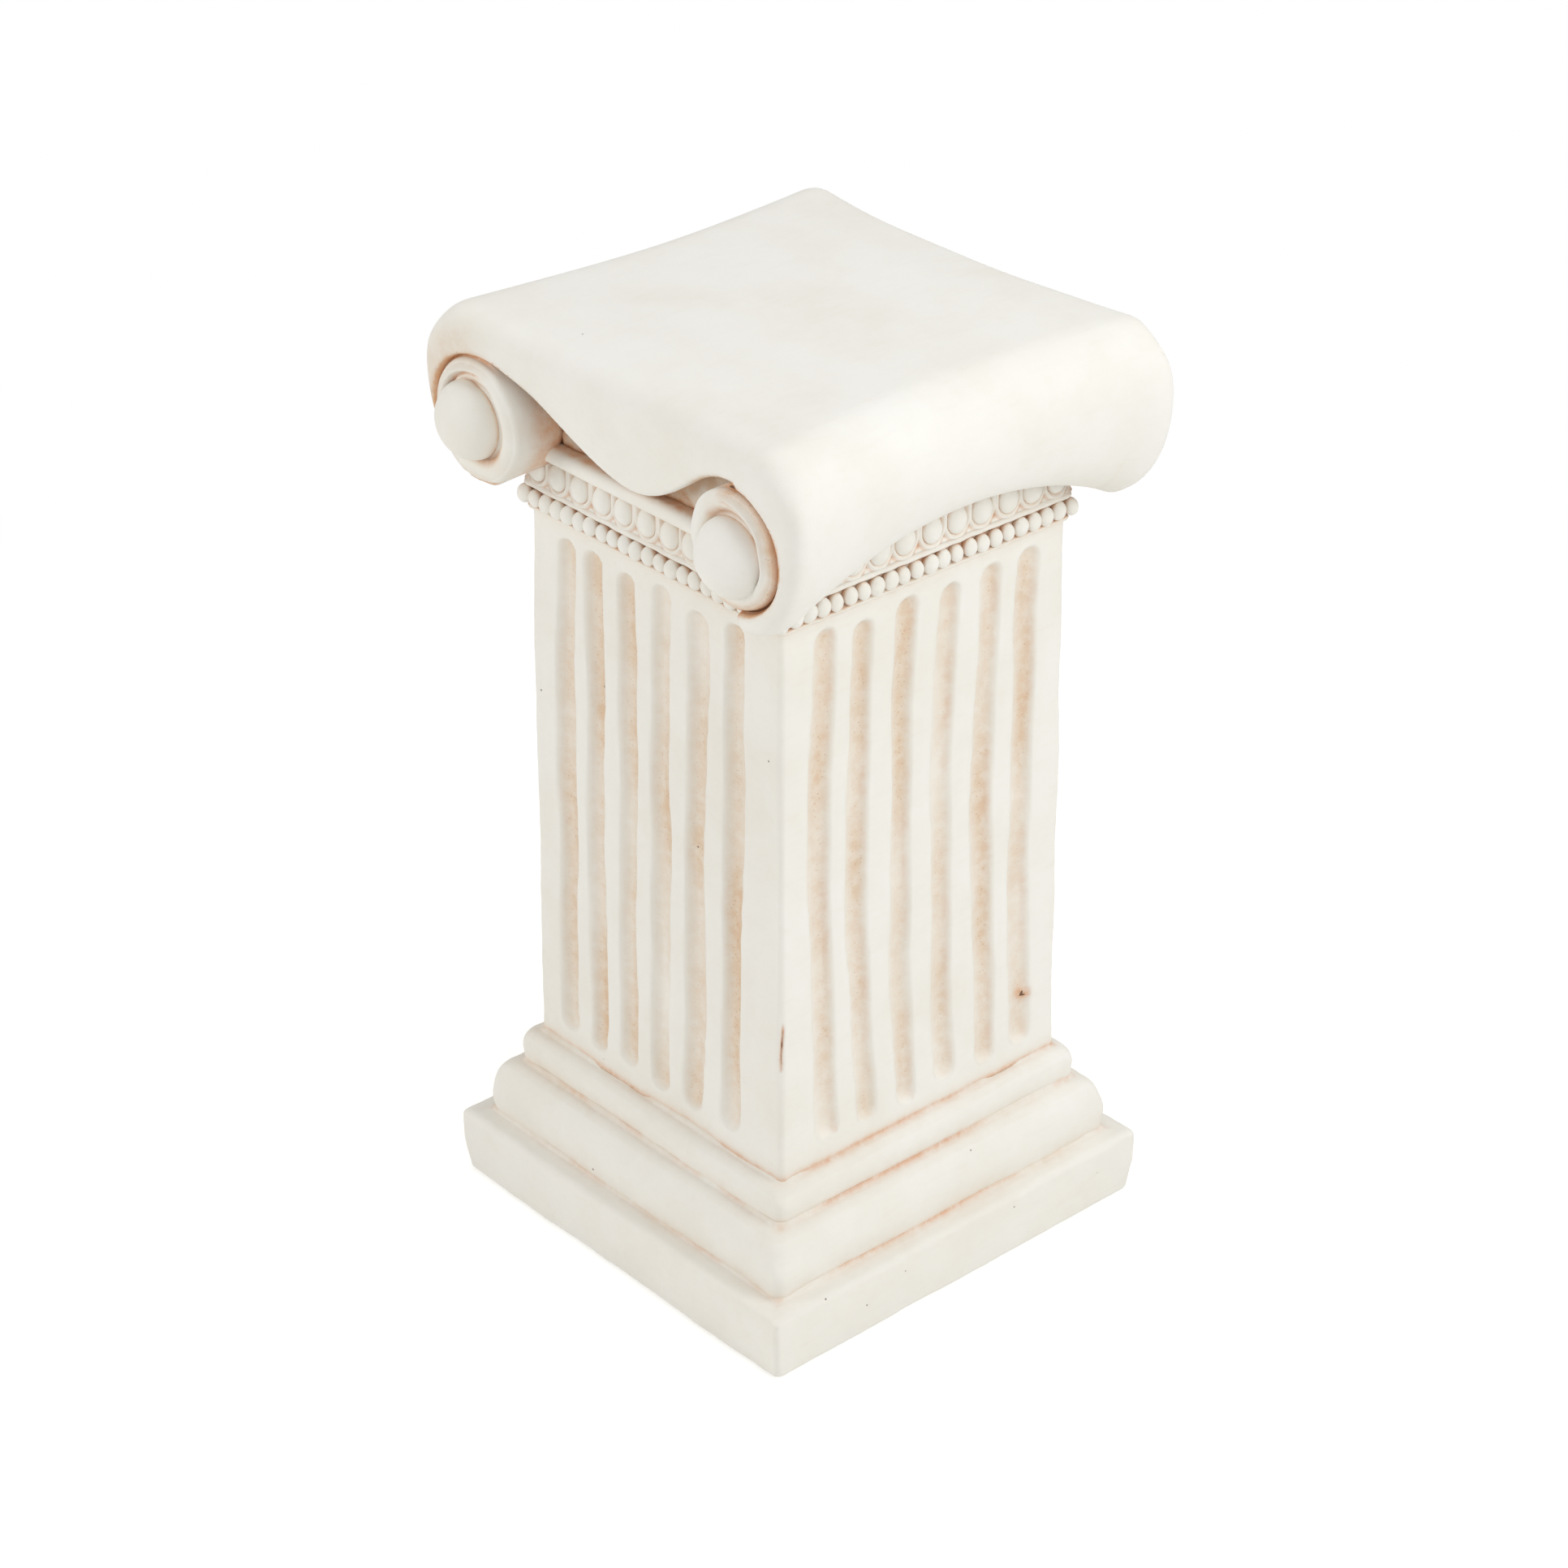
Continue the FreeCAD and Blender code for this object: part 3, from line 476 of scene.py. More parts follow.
def cover_field(p):
    """The cover: top, rolls and drapes, with the coves cut out."""
    x = np.abs(p[:, 0]) + 0.8 * unevenness(p, 95, 91)
    y = np.abs(p[:, 1]) + 0.7 * unevenness(p, 80, 93)
    z = p[:, 2] + 0.35 * unevenness(p * [1, 1, 0.2], 110, 95)
    # the rolls swell and sink from the middle, where share is 0, to their ends, where it is 1
    share = np.clip(y / 99.0, 0, 1) ** 2
    disc_x, disc_z, disc_size = corner_values(p)[:3]
    short = smooth_step(-30, 30, -p[:, 0]) * smooth_step(-30, 30, -p[:, 1])
    flat, crest = ROLL_X - 31 + 6 * share, ROLL_X - 7.2 + 7.0 * share
    tail, low, crest_z = ROLL_X - 25 - 13 * share, TOP - 60 - (29 - 5 * short) * share, TOP - 35
    droop = 3.2 * smooth_step(END_Y - 46, END_Y, y) * np.clip(1 - (x / 108) ** 2, 0, 1)
    # the roll's section: one quarter ellipse over its crest, and another under it
    over = ellipse(np.maximum(x - flat + 8, 0), z - crest_z, crest - flat + 8, TOP + 0.9 - crest_z)
    over = soft_max(over, z - (TOP - 0.4 - droop), 1.6)
    under = ellipse(np.maximum(x - tail, 0), crest_z - z, crest - tail, crest_z - low)
    section = np.where(z > crest_z, over, under)
    section = soft_max(section, 0.8 * (low + 0.7 * share ** 2 * np.clip(tail - x, 0, 16) - z), 4)
    # the end face leans back below its edge, into the drape, except at the rolls
    sunk = 4.8 * np.clip(1 - (x / 100) ** 2, 0, 1) * smooth_step(TOP - 60, TOP - 8, z)
    lean = 0.376 * soft_max(TOP - 14 - z, np.zeros(len(z)), 10) * (1 - smooth_step(52, 92, x))
    end = y - (END_Y - sunk - lean)
    outer = soft_max(section, end, 9 + 5 * smooth_step(TOP - 24, TOP - 6, z))
    # the hollow for the core wall, then the coves for the discs and the window under the drape
    inside = np.maximum(np.maximum(x - CORE_X, z - (TOP - 12)), end + 6.5)
    whole = soft_max(outer, -inside, 2)
    cove_r = COVE_R * disc_size - 0.8 * smooth_step(106, 86, y)
    cove = soft_max(np.hypot(x - disc_x, z - disc_z) - cove_r, CORE_Y - y, 2)
    window = soft_max(np.maximum(x - VOLUTE_X, z - lip(x)), CORE_Y - y, 2)
    whole = soft_max(whole, -cove, 3)
    whole = soft_max(whole, -window, 3)
    neck = np.maximum(np.maximum(np.abs(p[:, 0]), np.abs(p[:, 1])) - 93.4, z - 400.3)
    return np.maximum(whole, -neck)


def capital_field(p):
    """Everything near the capital, to tell how deep in a hollow a point lies."""
    x, y, z = np.abs(p[:, 0]), np.abs(p[:, 1]), p[:, 2]
    disc_x, disc_z, disc_size, eye_x, eye_z, eye_size = corner_values(p)
    from_disc = np.hypot(x - disc_x, z - disc_z) / disc_size
    disc = soft_max(np.maximum(from_disc - DISC_R, CORE_Y - 1 - y), y - END_Y - 0.4, 4)
    disc = np.maximum(disc, -np.maximum(from_disc - 21.0, SPRING_Y - y))
    flattened = (y - SPRING_Y) * EYE_R / (EYE_TIP - SPRING_Y)
    eye = np.sqrt((x - eye_x) ** 2 + (z - eye_z) ** 2 + flattened ** 2) - EYE_R
    core = np.maximum(np.maximum(x - CORE_X, y - CORE_Y), np.maximum(400 - z, z - (TOP - 12)))
    ring = np.maximum(np.maximum(x, y) - 92.0, np.maximum(391 - z, z - 400))
    column = np.maximum(np.maximum(x, y) - 86.5, z - 391)
    nearest = np.minimum(np.minimum(disc, eye), np.minimum(core, ring))
    return np.minimum(np.minimum(nearest, column), cover_field(p))


# %% [markdown]
# Surface nets turn a field into a mesh. The field is sampled on a grid, every cell that the surface
# passes through gets one vertex, and the four cells round a crossed grid edge share a quad. The
# vertices are then slid along the field's slope until they lie on the surface. Where a thin lip
# would make the surface touch itself, one sample is nudged first, so that the mesh stays closed.

# %% Surface nets
def slope(field, p, step=0.4):
    """Direction in which a field grows, as unit vectors."""
    grown = np.column_stack([field(p + step * axis) - field(p - step * axis) for axis in np.eye(3)])
    return grown / (np.linalg.norm(grown, axis=1, keepdims=True) + 1e-9)


def unpinched(value):
    """Samples nudged so that no cell face has crossed signs, where the surface would touch itself."""
    for _ in range(5):
        for pair in ((0, 1), (0, 2), (1, 2)):
            v = np.moveaxis(value, pair, (0, 1))
            a, b, c, d = v[:-1, :-1] < 0, v[1:, :-1] < 0, v[1:, 1:] < 0, v[:-1, 1:] < 0
            for i, j, k in np.argwhere((a == c) & (b == d) & (a != b)):
                spots = [(i, j, k), (i + 1, j, k), (i + 1, j + 1, k), (i, j + 1, k)]
                weakest = min(spots, key=lambda at: abs(v[at]))
                v[weakest] = -math.copysign(0.02, v[weakest])
    return value


def net(field, low, high, cell):
    """Vertices and quads of the surface where a field is zero."""
    axes = [np.arange(a, b + cell, cell) for a, b in zip(low, high)]
    shape = tuple(len(axis) for axis in axes)
    grid = np.stack(np.meshgrid(*axes, indexing="ij"), -1).reshape(-1, 3)
    value = unpinched(field(grid).reshape(shape))
    inside = value < 0
    cells = tuple(n - 1 for n in shape)
    total, count = np.zeros(cells + (3,)), np.zeros(cells)
    quads = []
    for axis in range(3):
        a = np.moveaxis(value, axis, 0)
        crossed = (a[:-1] < 0) != (a[1:] < 0)
        with np.errstate(divide="ignore", invalid="ignore"):
            t = np.where(crossed, a[:-1] / (a[:-1] - a[1:]), 0)
        crossed, t = np.moveaxis(crossed, 0, axis), np.moveaxis(t, 0, axis)
        where = np.argwhere(crossed)
        place = where.astype(float)
        place[:, axis] += t[crossed]
        b, c = [other for other in range(3) if other != axis]
        corners = []
        for db, dc in ((1, 1), (0, 1), (0, 0), (1, 0)):
            home = where.copy()
            home[:, b] -= db
            home[:, c] -= dc
            fits = np.all((home >= 0) & (home < cells), axis=1)
            key = tuple(home[fits].T)
            np.add.at(total, key, place[fits])
            np.add.at(count, key, 1)
            corners.append(home)
        starts_inside = inside[tuple(where.T)]
        forward = starts_inside if axis != 1 else ~starts_inside
        quads.append((np.stack(corners, 1), forward))
    label = -np.ones(cells, int)
    full = count > 0
    label[full] = np.arange(full.sum())
    points = np.array(low) + cell * (total[full] / count[full][:, None])
    faces = []
    for corners, forward in quads:
        fits = np.all((corners >= 0) & (corners < cells), axis=(1, 2))
        numbers = label[tuple(np.moveaxis(corners[fits], -1, 0))]
        numbers[~forward[fits]] = numbers[~forward[fits]][:, ::-1]
        faces.append(numbers)
    for _ in range(3):
        value = field(points)
        points = points - np.clip(value, -cell, cell)[:, None] * slope(field, points) * 0.9
    return points, np.vstack(faces).tolist()


def hollow_wash(p, normals):
    """How filled the space in front of each point is, near and farther; a rounded edge gives 0."""
    shares = []
    for reaches in ((1.5, 3.0), (6.0, 11.0, 17.0)):
        filled = np.zeros(len(p))
        for reach in reaches:
            filled += np.clip(0.66 - capital_field(p + normals * reach) / reach, 0, 0.66)
        shares.append(filled / (0.66 * len(reaches)))
    return shares


# %% [markdown]
# The cover is the largest casting: a slab that rolls under at both sides and hangs in front and
# behind. It could be sculpted by hand, yet the field gives the same soft edges and can be measured.
# The wash in it is read from the fields too: it stays where the space in front of a point is full,
# in the coves, and, a little stronger, on the left face round its disc.

# %% Cover
CELL = 1.7
cover_points, cover_faces = net(cover_field, (-129, -117, 366), (129, 117, 464), CELL)
cover_normals = slope(cover_field, cover_points)
cover_near, cover_far = hollow_wash(cover_points, cover_normals)
cover_points = np.clip(cover_points, [-124.9, -124.9, 0], [124.9, 124.9, 459.95])
around = corner_values(cover_points)
from_centre = np.hypot(np.abs(cover_points[:, 0]) - around[0], cover_points[:, 2] - around[1])
cover_y = np.abs(cover_points[:, 1])
in_cove = np.exp(-((from_centre - COVE_R * around[2]) / 2.1) ** 2)
in_cove = in_cove * smooth_step(113.5, 110.5, cover_y) * (cover_y > CORE_Y)
left_face = smooth_step(-72, -98, cover_points[:, 0]) * smooth_step(-92, -104, cover_points[:, 1])
left_face *= smooth_step(50, 36, from_centre) * smooth_step(395, 412, cover_points[:, 2])
cover_stain = 0.45 + 0.55 * smooth_step(-0.7, 0.5, unevenness(cover_points, 30, 97))
piece("cover_casting", cover_points, cover_faces,
      1.5 * cover_far + 0.6 * cover_near + 0.5 * in_cove + 0.4 * left_face,
      np.maximum(1.25 * cover_near - 0.42, 0.9 * in_cove) * cover_stain, ["scroll_cover"])

# %% [markdown]
# Behind the drape a rough wall shows. It was never rubbed smooth, so its bubbles and drips keep a
# lot of the wash. A box with a finely divided skin and a short, strong unevenness is enough.

# %% Core wall
core_loop = SquareLoop(90, 3)
core_profile = [(40.0, 400.2), (CORE_X, 400.2)]
core_profile += [(CORE_X, 400.4 + 1.6 * i) for i in range(1, 30)] + [(40.0, 447.8)]


def core_relief(half, z):
    """Rough cast surface."""
    at = core_loop.at(half, 3.0, z)
    return 0.5 * unevenness(at, 7, 101) - 0.5


core_points, core_faces = stack(core_loop, core_profile, 3.0, 0.3, 103, core_relief)
front_or_back = np.sign(core_points[:, 1])
core_points[:, 1] += front_or_back * 9.8 * smooth_step(0, 30, np.abs(core_points[:, 1]))
core_out = front_or_back[:, None] * [0, 1, 0]
core_near, core_far = hollow_wash(core_points + 0.5 * core_out, core_out)
piece("core_casting", core_points, core_faces,
      0.42 + 0.9 * core_far + 0.15 * unevenness(core_points, 9, 107),
      1.6 * core_near + 0.5 * core_far - 0.15, ["capital_core"])

# %% [markdown]
# A volute is a thick disc with a rounded rim, a groove round a large eye, and on this piece a thin
# lip that winds in from the rim like the end of a rolled sheet. The disc is turned like a pot:
# a profile of radius and depth goes round in 96 steps, and the lip is raised on the way. Behind
# its rim it flares towards the cove, so that no gap is left there.

# %% Volute discs and eyes
TURNS = 96
DISC_FACE, GROOVE_R = 109.6, 18.4  # depth of the flat behind the eye, and where the rim rises
disc_profile = [(radius, DISC_FACE) for radius in (0.0, 8.0, 16.0, GROOVE_R)]
for step in range(1, 21):
    swell = math.sin(math.pi * (0.10 + 0.62 * step / 20)) ** 1.3
    disc_profile.append((GROOVE_R + 8.6 * step / 20, DISC_FACE + 3.6 * swell))
disc_profile += quarter((27.2, 112.0), (DISC_R, 109.4), False, 8)
disc_profile += [(DISC_R + more, depth) for more, depth in
                 ((0.0, 109.4), (0.3, 108.8), (1.2, 108.4), (2.2, 107.8), (2.3, 106.4))]
disc_profile += [(DISC_R + 2.2 - 0.18 * i, 104.8 - 1.5 * i) for i in range(12)]
disc_profile += [(DISC_R, 86.2), (0.0, 86.2)]


def lathe(profile, turns):
    """Grid of (x, z, y) for a turned form, with its poles as single points."""
    rows = []
    for radius, depth in profile[1:-1]:
        for number in range(turns):
            angle = 2 * math.pi * number / turns
            rows.append((radius * math.cos(angle), radius * math.sin(angle), depth))
    return np.array(rows + [(0, 0, profile[0][1]), (0, 0, profile[-1][1])], float)


def facing(local, side, front):
    """Put a turned form at its volute: side is -1 or 1, front is -1 for the front."""
    return np.column_stack([side * local[:, 0], front * local[:, 2], local[:, 1]])


def spiral(local):
    """How near each point is to the groove that winds in from the top to the eye, and to its lip."""
    radius, angle = np.hypot(local[:, 0], local[:, 1]), np.arctan2(local[:, 1], local[:, 0])
    wound = np.clip((1.75 - angle) / 2.35, 0, 1)
    along = smooth_step(2.0, 1.4, angle) * smooth_step(-0.75, -0.5, angle) * (local[:, 2] > 107)
    track = 23.2 - 3.4 * wound
    return (np.exp(-((radius - track) / 0.9) ** 2) * along,
            np.exp(-((radius - track - 2.1) / 1.3) ** 2) * along)


def outward_faces(rows, handed):
    """Faces of a turned form, pointing outwards whichever way it was mirrored."""
    faces = skin(rows - 2, TURNS)
    return faces if handed > 0 else [face[::-1] for face in faces]


eye_profile = [(0.0, EYE_TIP - 0.1)]
for step in range(1, 30):
    angle = math.pi / 2 * step / 29
    dome = math.cos(angle) ** 0.95
    eye_profile.append((EYE_R * math.sin(angle), 109.8 + (EYE_TIP - 109.9) * dome))
eye_profile += [(EYE_R - 0.2, 109.2), (0.0, 109.2)]
for front, where in ((-1, "front"), (1, "back")):
    for side, hand in ((-1, "left"), (1, "right")):
        seed = 120 + 10 * side + front
        disc = lathe(disc_profile, TURNS)
        groove_line, raised = spiral(disc)
        disc[:, 2] += 1.5 * raised - 2.2 * groove_line
        round_disc = np.arctan2(disc[:, 1], disc[:, 0])
        cove_side = smooth_step(-2.2, -1.7, round_disc) * smooth_step(2.1, 1.6, round_disc)
        flare = np.maximum(np.hypot(disc[:, 0], disc[:, 1]) / DISC_R, 1.0)
        disc[:, :2] *= ((1 + (flare - 1) * cove_side) / flare)[:, None]
        disc_x, disc_z, disc_size, eye_x, eye_z, eye_size = CORNERS[(side, front)]
        disc[:, :2] = disc[:, :2] * disc_size + [disc_x, disc_z]
        points = facing(disc, side, front)
        points += 0.35 * unevenness(points, 19, seed)[:, None] * [0.4, 1.0, 0.4]
        rim = np.hypot(disc[:, 0] - disc_x, disc[:, 1] - disc_z) / disc_size
        depth = np.abs(points[:, 1])
        face = depth > 107
        groove = np.exp(-((rim - 19.0) / 2.0) ** 2) * face
        behind_rim = np.exp(-((depth - 108.6) / 0.9) ** 2) * (rim > 25) * cove_side
        barrel = 0.75 * smooth_step(108, 90, depth) + 0.9 * behind_rim
        rubbed = unevenness(points, 24, seed + 1)
        stained, lined = (0.62, 0.35) if side > 0 else (0.25, 0.0)
        piece(f"disc_{where}_{hand}", points, outward_faces(len(disc_profile), side * front),
              0.06 + 0.40 * groove + 0.55 * barrel + 0.10 * rubbed
              + stained * smooth_step(22, 29, rim) * cove_side * face,
              np.maximum(0.55 * groove * smooth_step(-0.6, 0.6, rubbed),
                         np.maximum(0.8 * groove_line, barrel))
              + lined * smooth_step(26, 29.3, rim) * cove_side * face,
              [f"volute_{where}_{hand}"])
        eye = lathe(eye_profile, TURNS)
        eye[:, :2] = eye[:, :2] * eye_size + [eye_x, eye_z]
        points = facing(eye, side, front)
        points += 0.45 * unevenness(points, 17, seed + 3)[:, None] * [1, 0, 1]
        edge = np.exp(-np.maximum(np.abs(points[:, 1]) - 110.2, 0) / 0.9)
        piece(f"boss_{where}_{hand}", points, outward_faces(len(eye_profile), side * front),
              0.02 + 0.6 * edge, 0.8 * edge - 0.3, [f"eye_{where}_{hand}"])

# %% [markdown]
# Beads and eggs repeat along each side, so Geometry Nodes set them out. The tree takes a mesh with
# one vertex for each bead, puts a small ball there, stretches it to the bead's width, depth and
# height, and varies size and tilt by a seeded random value. It ends in Realize Instances and Set
# Material, and the result is read back as a plain mesh.

# %% A tree that sets out carved balls
def node(tree, kind, settings=None, inputs=None, links=None):
    """Add a node, set its properties and input values, and link sockets into it."""
    new = tree.nodes.new(kind)
    for key, value in (settings or {}).items():
        setattr(new, key, value)
    for key, value in (inputs or {}).items():
        new.inputs[key].default_value = value
    for key, source in (links or {}).items():
        tree.links.new(source, new.inputs[key])
    return new


def srgb(code):
    """Linear colour from an sRGB hex value."""
    parts = [int(code[i:i + 2], 16) / 255 for i in (1, 3, 5)]
    return tuple(v / 12.92 if v <= 0.04045 else ((v + 0.055) / 1.055) ** 2.4 for v in parts) + (1.0,)


stone = bpy.data.materials.new("antique_white_cast_stone")


def carved_row_tree():
    """Geometry Nodes group: a ball on every vertex, with named sizes."""
    tree = bpy.data.node_groups.new("carved_row", "GeometryNodeTree")
    for label, kind in (("Geometry", "Geometry"), ("Size", "Vector"), ("Variation", "Float"),
                        ("Tilt", "Float"), ("Seed", "Int")):
        tree.interface.new_socket(label, in_out="INPUT", socket_type="NodeSocket" + kind)
    tree.interface.new_socket("Geometry", in_out="OUTPUT", socket_type="NodeSocketGeometry")
    given = node(tree, "NodeGroupInput").outputs

    def random_about(middle, reach):
        """A random value for each ball, at most so far from the middle."""
        low, high = (node(tree, "ShaderNodeMath", {"operation": kind}, {0: middle}, {1: reach})
                     for kind in ("SUBTRACT", "ADD"))
        links = {2: low.outputs[0], 3: high.outputs[0], "Seed": given["Seed"]}
        return node(tree, "FunctionNodeRandomValue", {"data_type": "FLOAT"}, links=links).outputs[1]

    ball = node(tree, "GeometryNodeMeshUVSphere", inputs={"Segments": 20, "Rings": 12, "Radius": 1.0})
    size = node(tree, "ShaderNodeVectorMath", {"operation": "SCALE"},
                links={0: given["Size"], "Scale": random_about(1.0, given["Variation"])})
    turn = node(tree, "ShaderNodeCombineXYZ", links={1: random_about(0.0, given["Tilt"])})
    spread = node(tree, "GeometryNodeInstanceOnPoints",
                  links={"Points": given["Geometry"], "Instance": ball.outputs["Mesh"],
                         "Rotation": turn.outputs[0], "Scale": size.outputs[0]})
    real = node(tree, "GeometryNodeRealizeInstances", links={0: spread.outputs[0]})
    finish = node(tree, "GeometryNodeSetMaterial", inputs={"Material": stone},
                  links={"Geometry": real.outputs[0]})
    node(tree, "NodeGroupOutput", links={0: finish.outputs[0]})
    return tree


row_tree = carved_row_tree()


def carved_row(name, places, size, variation, tilt, seed, cad_node):
    """Balls at the places of one side, as a plain mesh with its wash."""
    dots = bpy.data.meshes.new(name + "_dots")
    dots.from_pydata((np.array(places) * MM).tolist(), [], [])
    thing = in_scene(name, dots)
    row = thing.modifiers.new("carved_row", "NODES")
    row.node_group = row_tree
    values = {"Size": [v * MM for v in size], "Variation": variation, "Tilt": tilt, "Seed": seed}
    for item in row_tree.interface.items_tree:
        if item.in_out == "INPUT" and item.name in values:
            row[item.identifier] = values[item.name]
    shown = thing.evaluated_get(bpy.context.evaluated_depsgraph_get())
    solid = bpy.data.meshes.new_from_object(shown)
    bpy.data.objects.remove(thing)
    points = np.empty(len(solid.vertices) * 3)
    solid.vertices.foreach_get("co", points)
    points = points.reshape(-1, 3) / MM
    polygons = [tuple(face.vertices) for face in solid.polygons]
    deep = 1 - smooth_step(85.0, 88.0, np.abs(points[:, :2]).max(axis=1))
    piece(name, points, polygons, 0.6 * deep, 0.8 * deep - 0.2, [cad_node])


BEAD_LINE, BEAD_Z, BEAD_GAPS = 86.0, 367.2, 22
for number, (side, out, along) in enumerate((("front", (0, -1), (1, 0)), ("right", (1, 0), (0, 1)),
                                             ("back", (0, 1), (-1, 0)), ("left", (-1, 0), (0, -1)))):
    out, along = np.array(out), np.array(along)
    corner_beads = side in ("front", "back")
    rng = np.random.default_rng(200 + number)
    beads, eggs = [], []
    for i in range(BEAD_GAPS + 1) if corner_beads else range(1, BEAD_GAPS):
        t = -BEAD_LINE + 2 * BEAD_LINE * i / BEAD_GAPS + rng.uniform(-0.35, 0.35)
        beads.append((*(out * BEAD_LINE + along * t), BEAD_Z + rng.uniform(-0.35, 0.35)))
    for i in range(-(EGGS // 2), EGGS // 2 + 1):
        t = i * EGG_PITCH + 0.5 * math.sin(i * 2.1 + number)
        eggs.append((*(out * 85.6 + along * t), EGG_MIDDLE + 0.2))
    for name, places, (wide, deep, tall), variation, tilt, seed, node_name in (
            ("beads_", beads, (3.85, 3.5, 4.5), 0.09, 0.34, 210, "bead_strip_"),
            ("egg_row_", eggs, (5.6, 4.8, 6.9), 0.05, 0.14, 220, "eggs_")):
        size = (wide, deep, tall) if out[0] == 0 else (deep, wide, tall)
        carved_row(name + side, places, size, variation, tilt, seed + number, node_name + side)

# %% [markdown]
# Cast stone of this kind is white stone powder in a binder, brushed with matt cream paint and then
# with a tan wash. It has no shine to speak of, a fine grain, faint brush marks, a few pin-holes
# from air bubbles, and a warm blotchiness. All of that is mixed here from procedural textures on
# object coordinates, with the two vertex values to say where the wash was left.

# %% Antique white cast stone
def empty_tree(owner):
    """The node tree of a material or a world, with nothing in it."""
    owner.use_nodes = True
    owner.node_tree.nodes.clear()
    return owner.node_tree


def dress(thing, material):
    """Give a piece this material alone."""
    thing.data.materials.clear()
    thing.data.materials.append(material)


def texture_scale(size_mm):
    """Scale of a texture whose features are about so many millimetres, in a scene in metres."""
    return 1000.0 / size_mm


tree = empty_tree(stone)
where = node(tree, "ShaderNodeTexCoord").outputs["Object"]


def noise(size_mm, detail, roughness, vector=where):
    """Noise from 0 to 1 with features of this size."""
    values = {"Scale": texture_scale(size_mm), "Detail": detail, "Roughness": roughness}
    return node(tree, "ShaderNodeTexNoise", inputs=values, links={"Vector": vector}).outputs["Fac"]


def scattered(size_mm):
    """Random cells of this size: outputs for their distance and colour."""
    values = {"Scale": texture_scale(size_mm), "Randomness": 1.0}
    return node(tree, "ShaderNodeTexVoronoi", {"feature": "F1"}, values, {"Vector": where}).outputs


def curve(source, low, high, out_low=0.0, out_high=1.0):
    """Map a range of values to another, clamped."""
    return node(tree, "ShaderNodeMapRange", {"interpolation_type": "SMOOTHSTEP"},
                {"From Min": low, "From Max": high, "To Min": out_low, "To Max": out_high},
                {"Value": source}).outputs[0]


def math_node(kind, a, b, clamp=False):
    """One arithmetic step on a socket and a number or another socket."""
    step = node(tree, "ShaderNodeMath", {"operation": kind, "use_clamp": clamp}, links={0: a})
    if isinstance(b, (int, float)):
        step.inputs[1].default_value = b
    else:
        tree.links.new(b, step.inputs[1])
    return step.outputs[0]


def tint(factor, below, above):
    """Mix two colours, each a socket or a hex value."""
    mix = node(tree, "ShaderNodeMix", {"data_type": "RGBA"}, links={0: factor})
    for index, value in ((6, below), (7, above)):
        if isinstance(value, str):
            mix.inputs[index].default_value = srgb(value)
        else:
            tree.links.new(value, mix.inputs[index])
    return mix.outputs[2]


wash, crease = (node(tree, "ShaderNodeAttribute", {"attribute_name": label}).outputs["Fac"]
                for label in ("wash", "crease"))
# soft clouds: where the cream paint is thicker or the wash went on stronger
cloud = noise(55, 4, 0.6)
# brush marks: noise stretched along a slanting direction
slant = node(tree, "ShaderNodeMapping", links={"Vector": where},
             inputs={"Rotation": (0.5, 0.35, 0.9), "Scale": (1.0, 0.16, 1.0)})
brush = noise(3.0, 3, 0.55, slant.outputs[0])
# mottling of the wash
mottle = noise(6, 5, 0.65)
# grain of the stone powder, drawn a little coarser than life so that it shows
grain = noise(0.9, 2, 0.5)
# pin-holes from air bubbles: one cell in five has a small dark heart
cells = scattered(13)
chosen = curve(node(tree, "ShaderNodeSeparateColor", links={0: cells["Color"]}).outputs[0], 0.80, 0.82)
hole = math_node("MULTIPLY", curve(cells["Distance"], 0.034, 0.052, 1.0, 0.0), chosen)
# fine brown specks, only where there is wash
speck = curve(scattered(2.2)["Distance"], 0.10, 0.22, 1.0, 0.0)

wash_level = math_node("MULTIPLY", wash, curve(mottle, 0.30, 0.70, 0.74, 1.20))
wash_level = math_node("ADD", wash_level, curve(cloud, 0.50, 0.78, 0.0, 0.05))
wash_level = math_node("ADD", wash_level, curve(brush, 0.52, 0.78, 0.0, 0.05), clamp=True)
crease_level = math_node("MULTIPLY", crease, curve(mottle, 0.32, 0.68, 0.5, 1.1), clamp=True)
speck_level = math_node("MULTIPLY", speck, curve(wash, 0.25, 0.8, 0.0, 0.5))

colour = tint(curve(cloud, 0.35, 0.65), "#F4F3EE", "#F1EFE8")
colour = tint(math_node("MULTIPLY", wash_level, 0.85), colour, "#DDC9AF")
strong_wash = math_node("MULTIPLY", math_node("POWER", wash_level, 2.2), 0.5)
colour = tint(strong_wash, colour, "#D9B089")
colour = tint(math_node("MULTIPLY", crease_level, 0.78), colour, "#D8955F")
colour = tint(speck_level, colour, "#B98C62")
colour = tint(curve(crease, 0.93, 1.0), colour, "#70543E")
colour = tint(math_node("MULTIPLY", hole, 0.75), colour, "#6B5340")

height = math_node("ADD", math_node("MULTIPLY", grain, 0.10), math_node("MULTIPLY", brush, 0.22))
height = math_node("ADD", height, math_node("MULTIPLY", mottle, 0.30))
height = math_node("SUBTRACT", height, math_node("MULTIPLY", hole, 0.8))
bump = node(tree, "ShaderNodeBump", inputs={"Strength": 0.5, "Distance": 0.0008},
            links={"Height": height})
rough = curve(brush, 0.3, 0.7, 0.60, 0.76)
paint = node(tree, "ShaderNodeBsdfPrincipled",
             inputs={"Metallic": 0.0, "IOR": 1.46, "Specular IOR Level": 0.32},
             links={"Base Color": colour, "Roughness": rough, "Normal": bump.outputs[0]})
node(tree, "ShaderNodeOutputMaterial", links={"Surface": paint.outputs[0]})
for thing in made.values():
    dress(thing, stone)
print("cast stone on", len(made), "pieces")

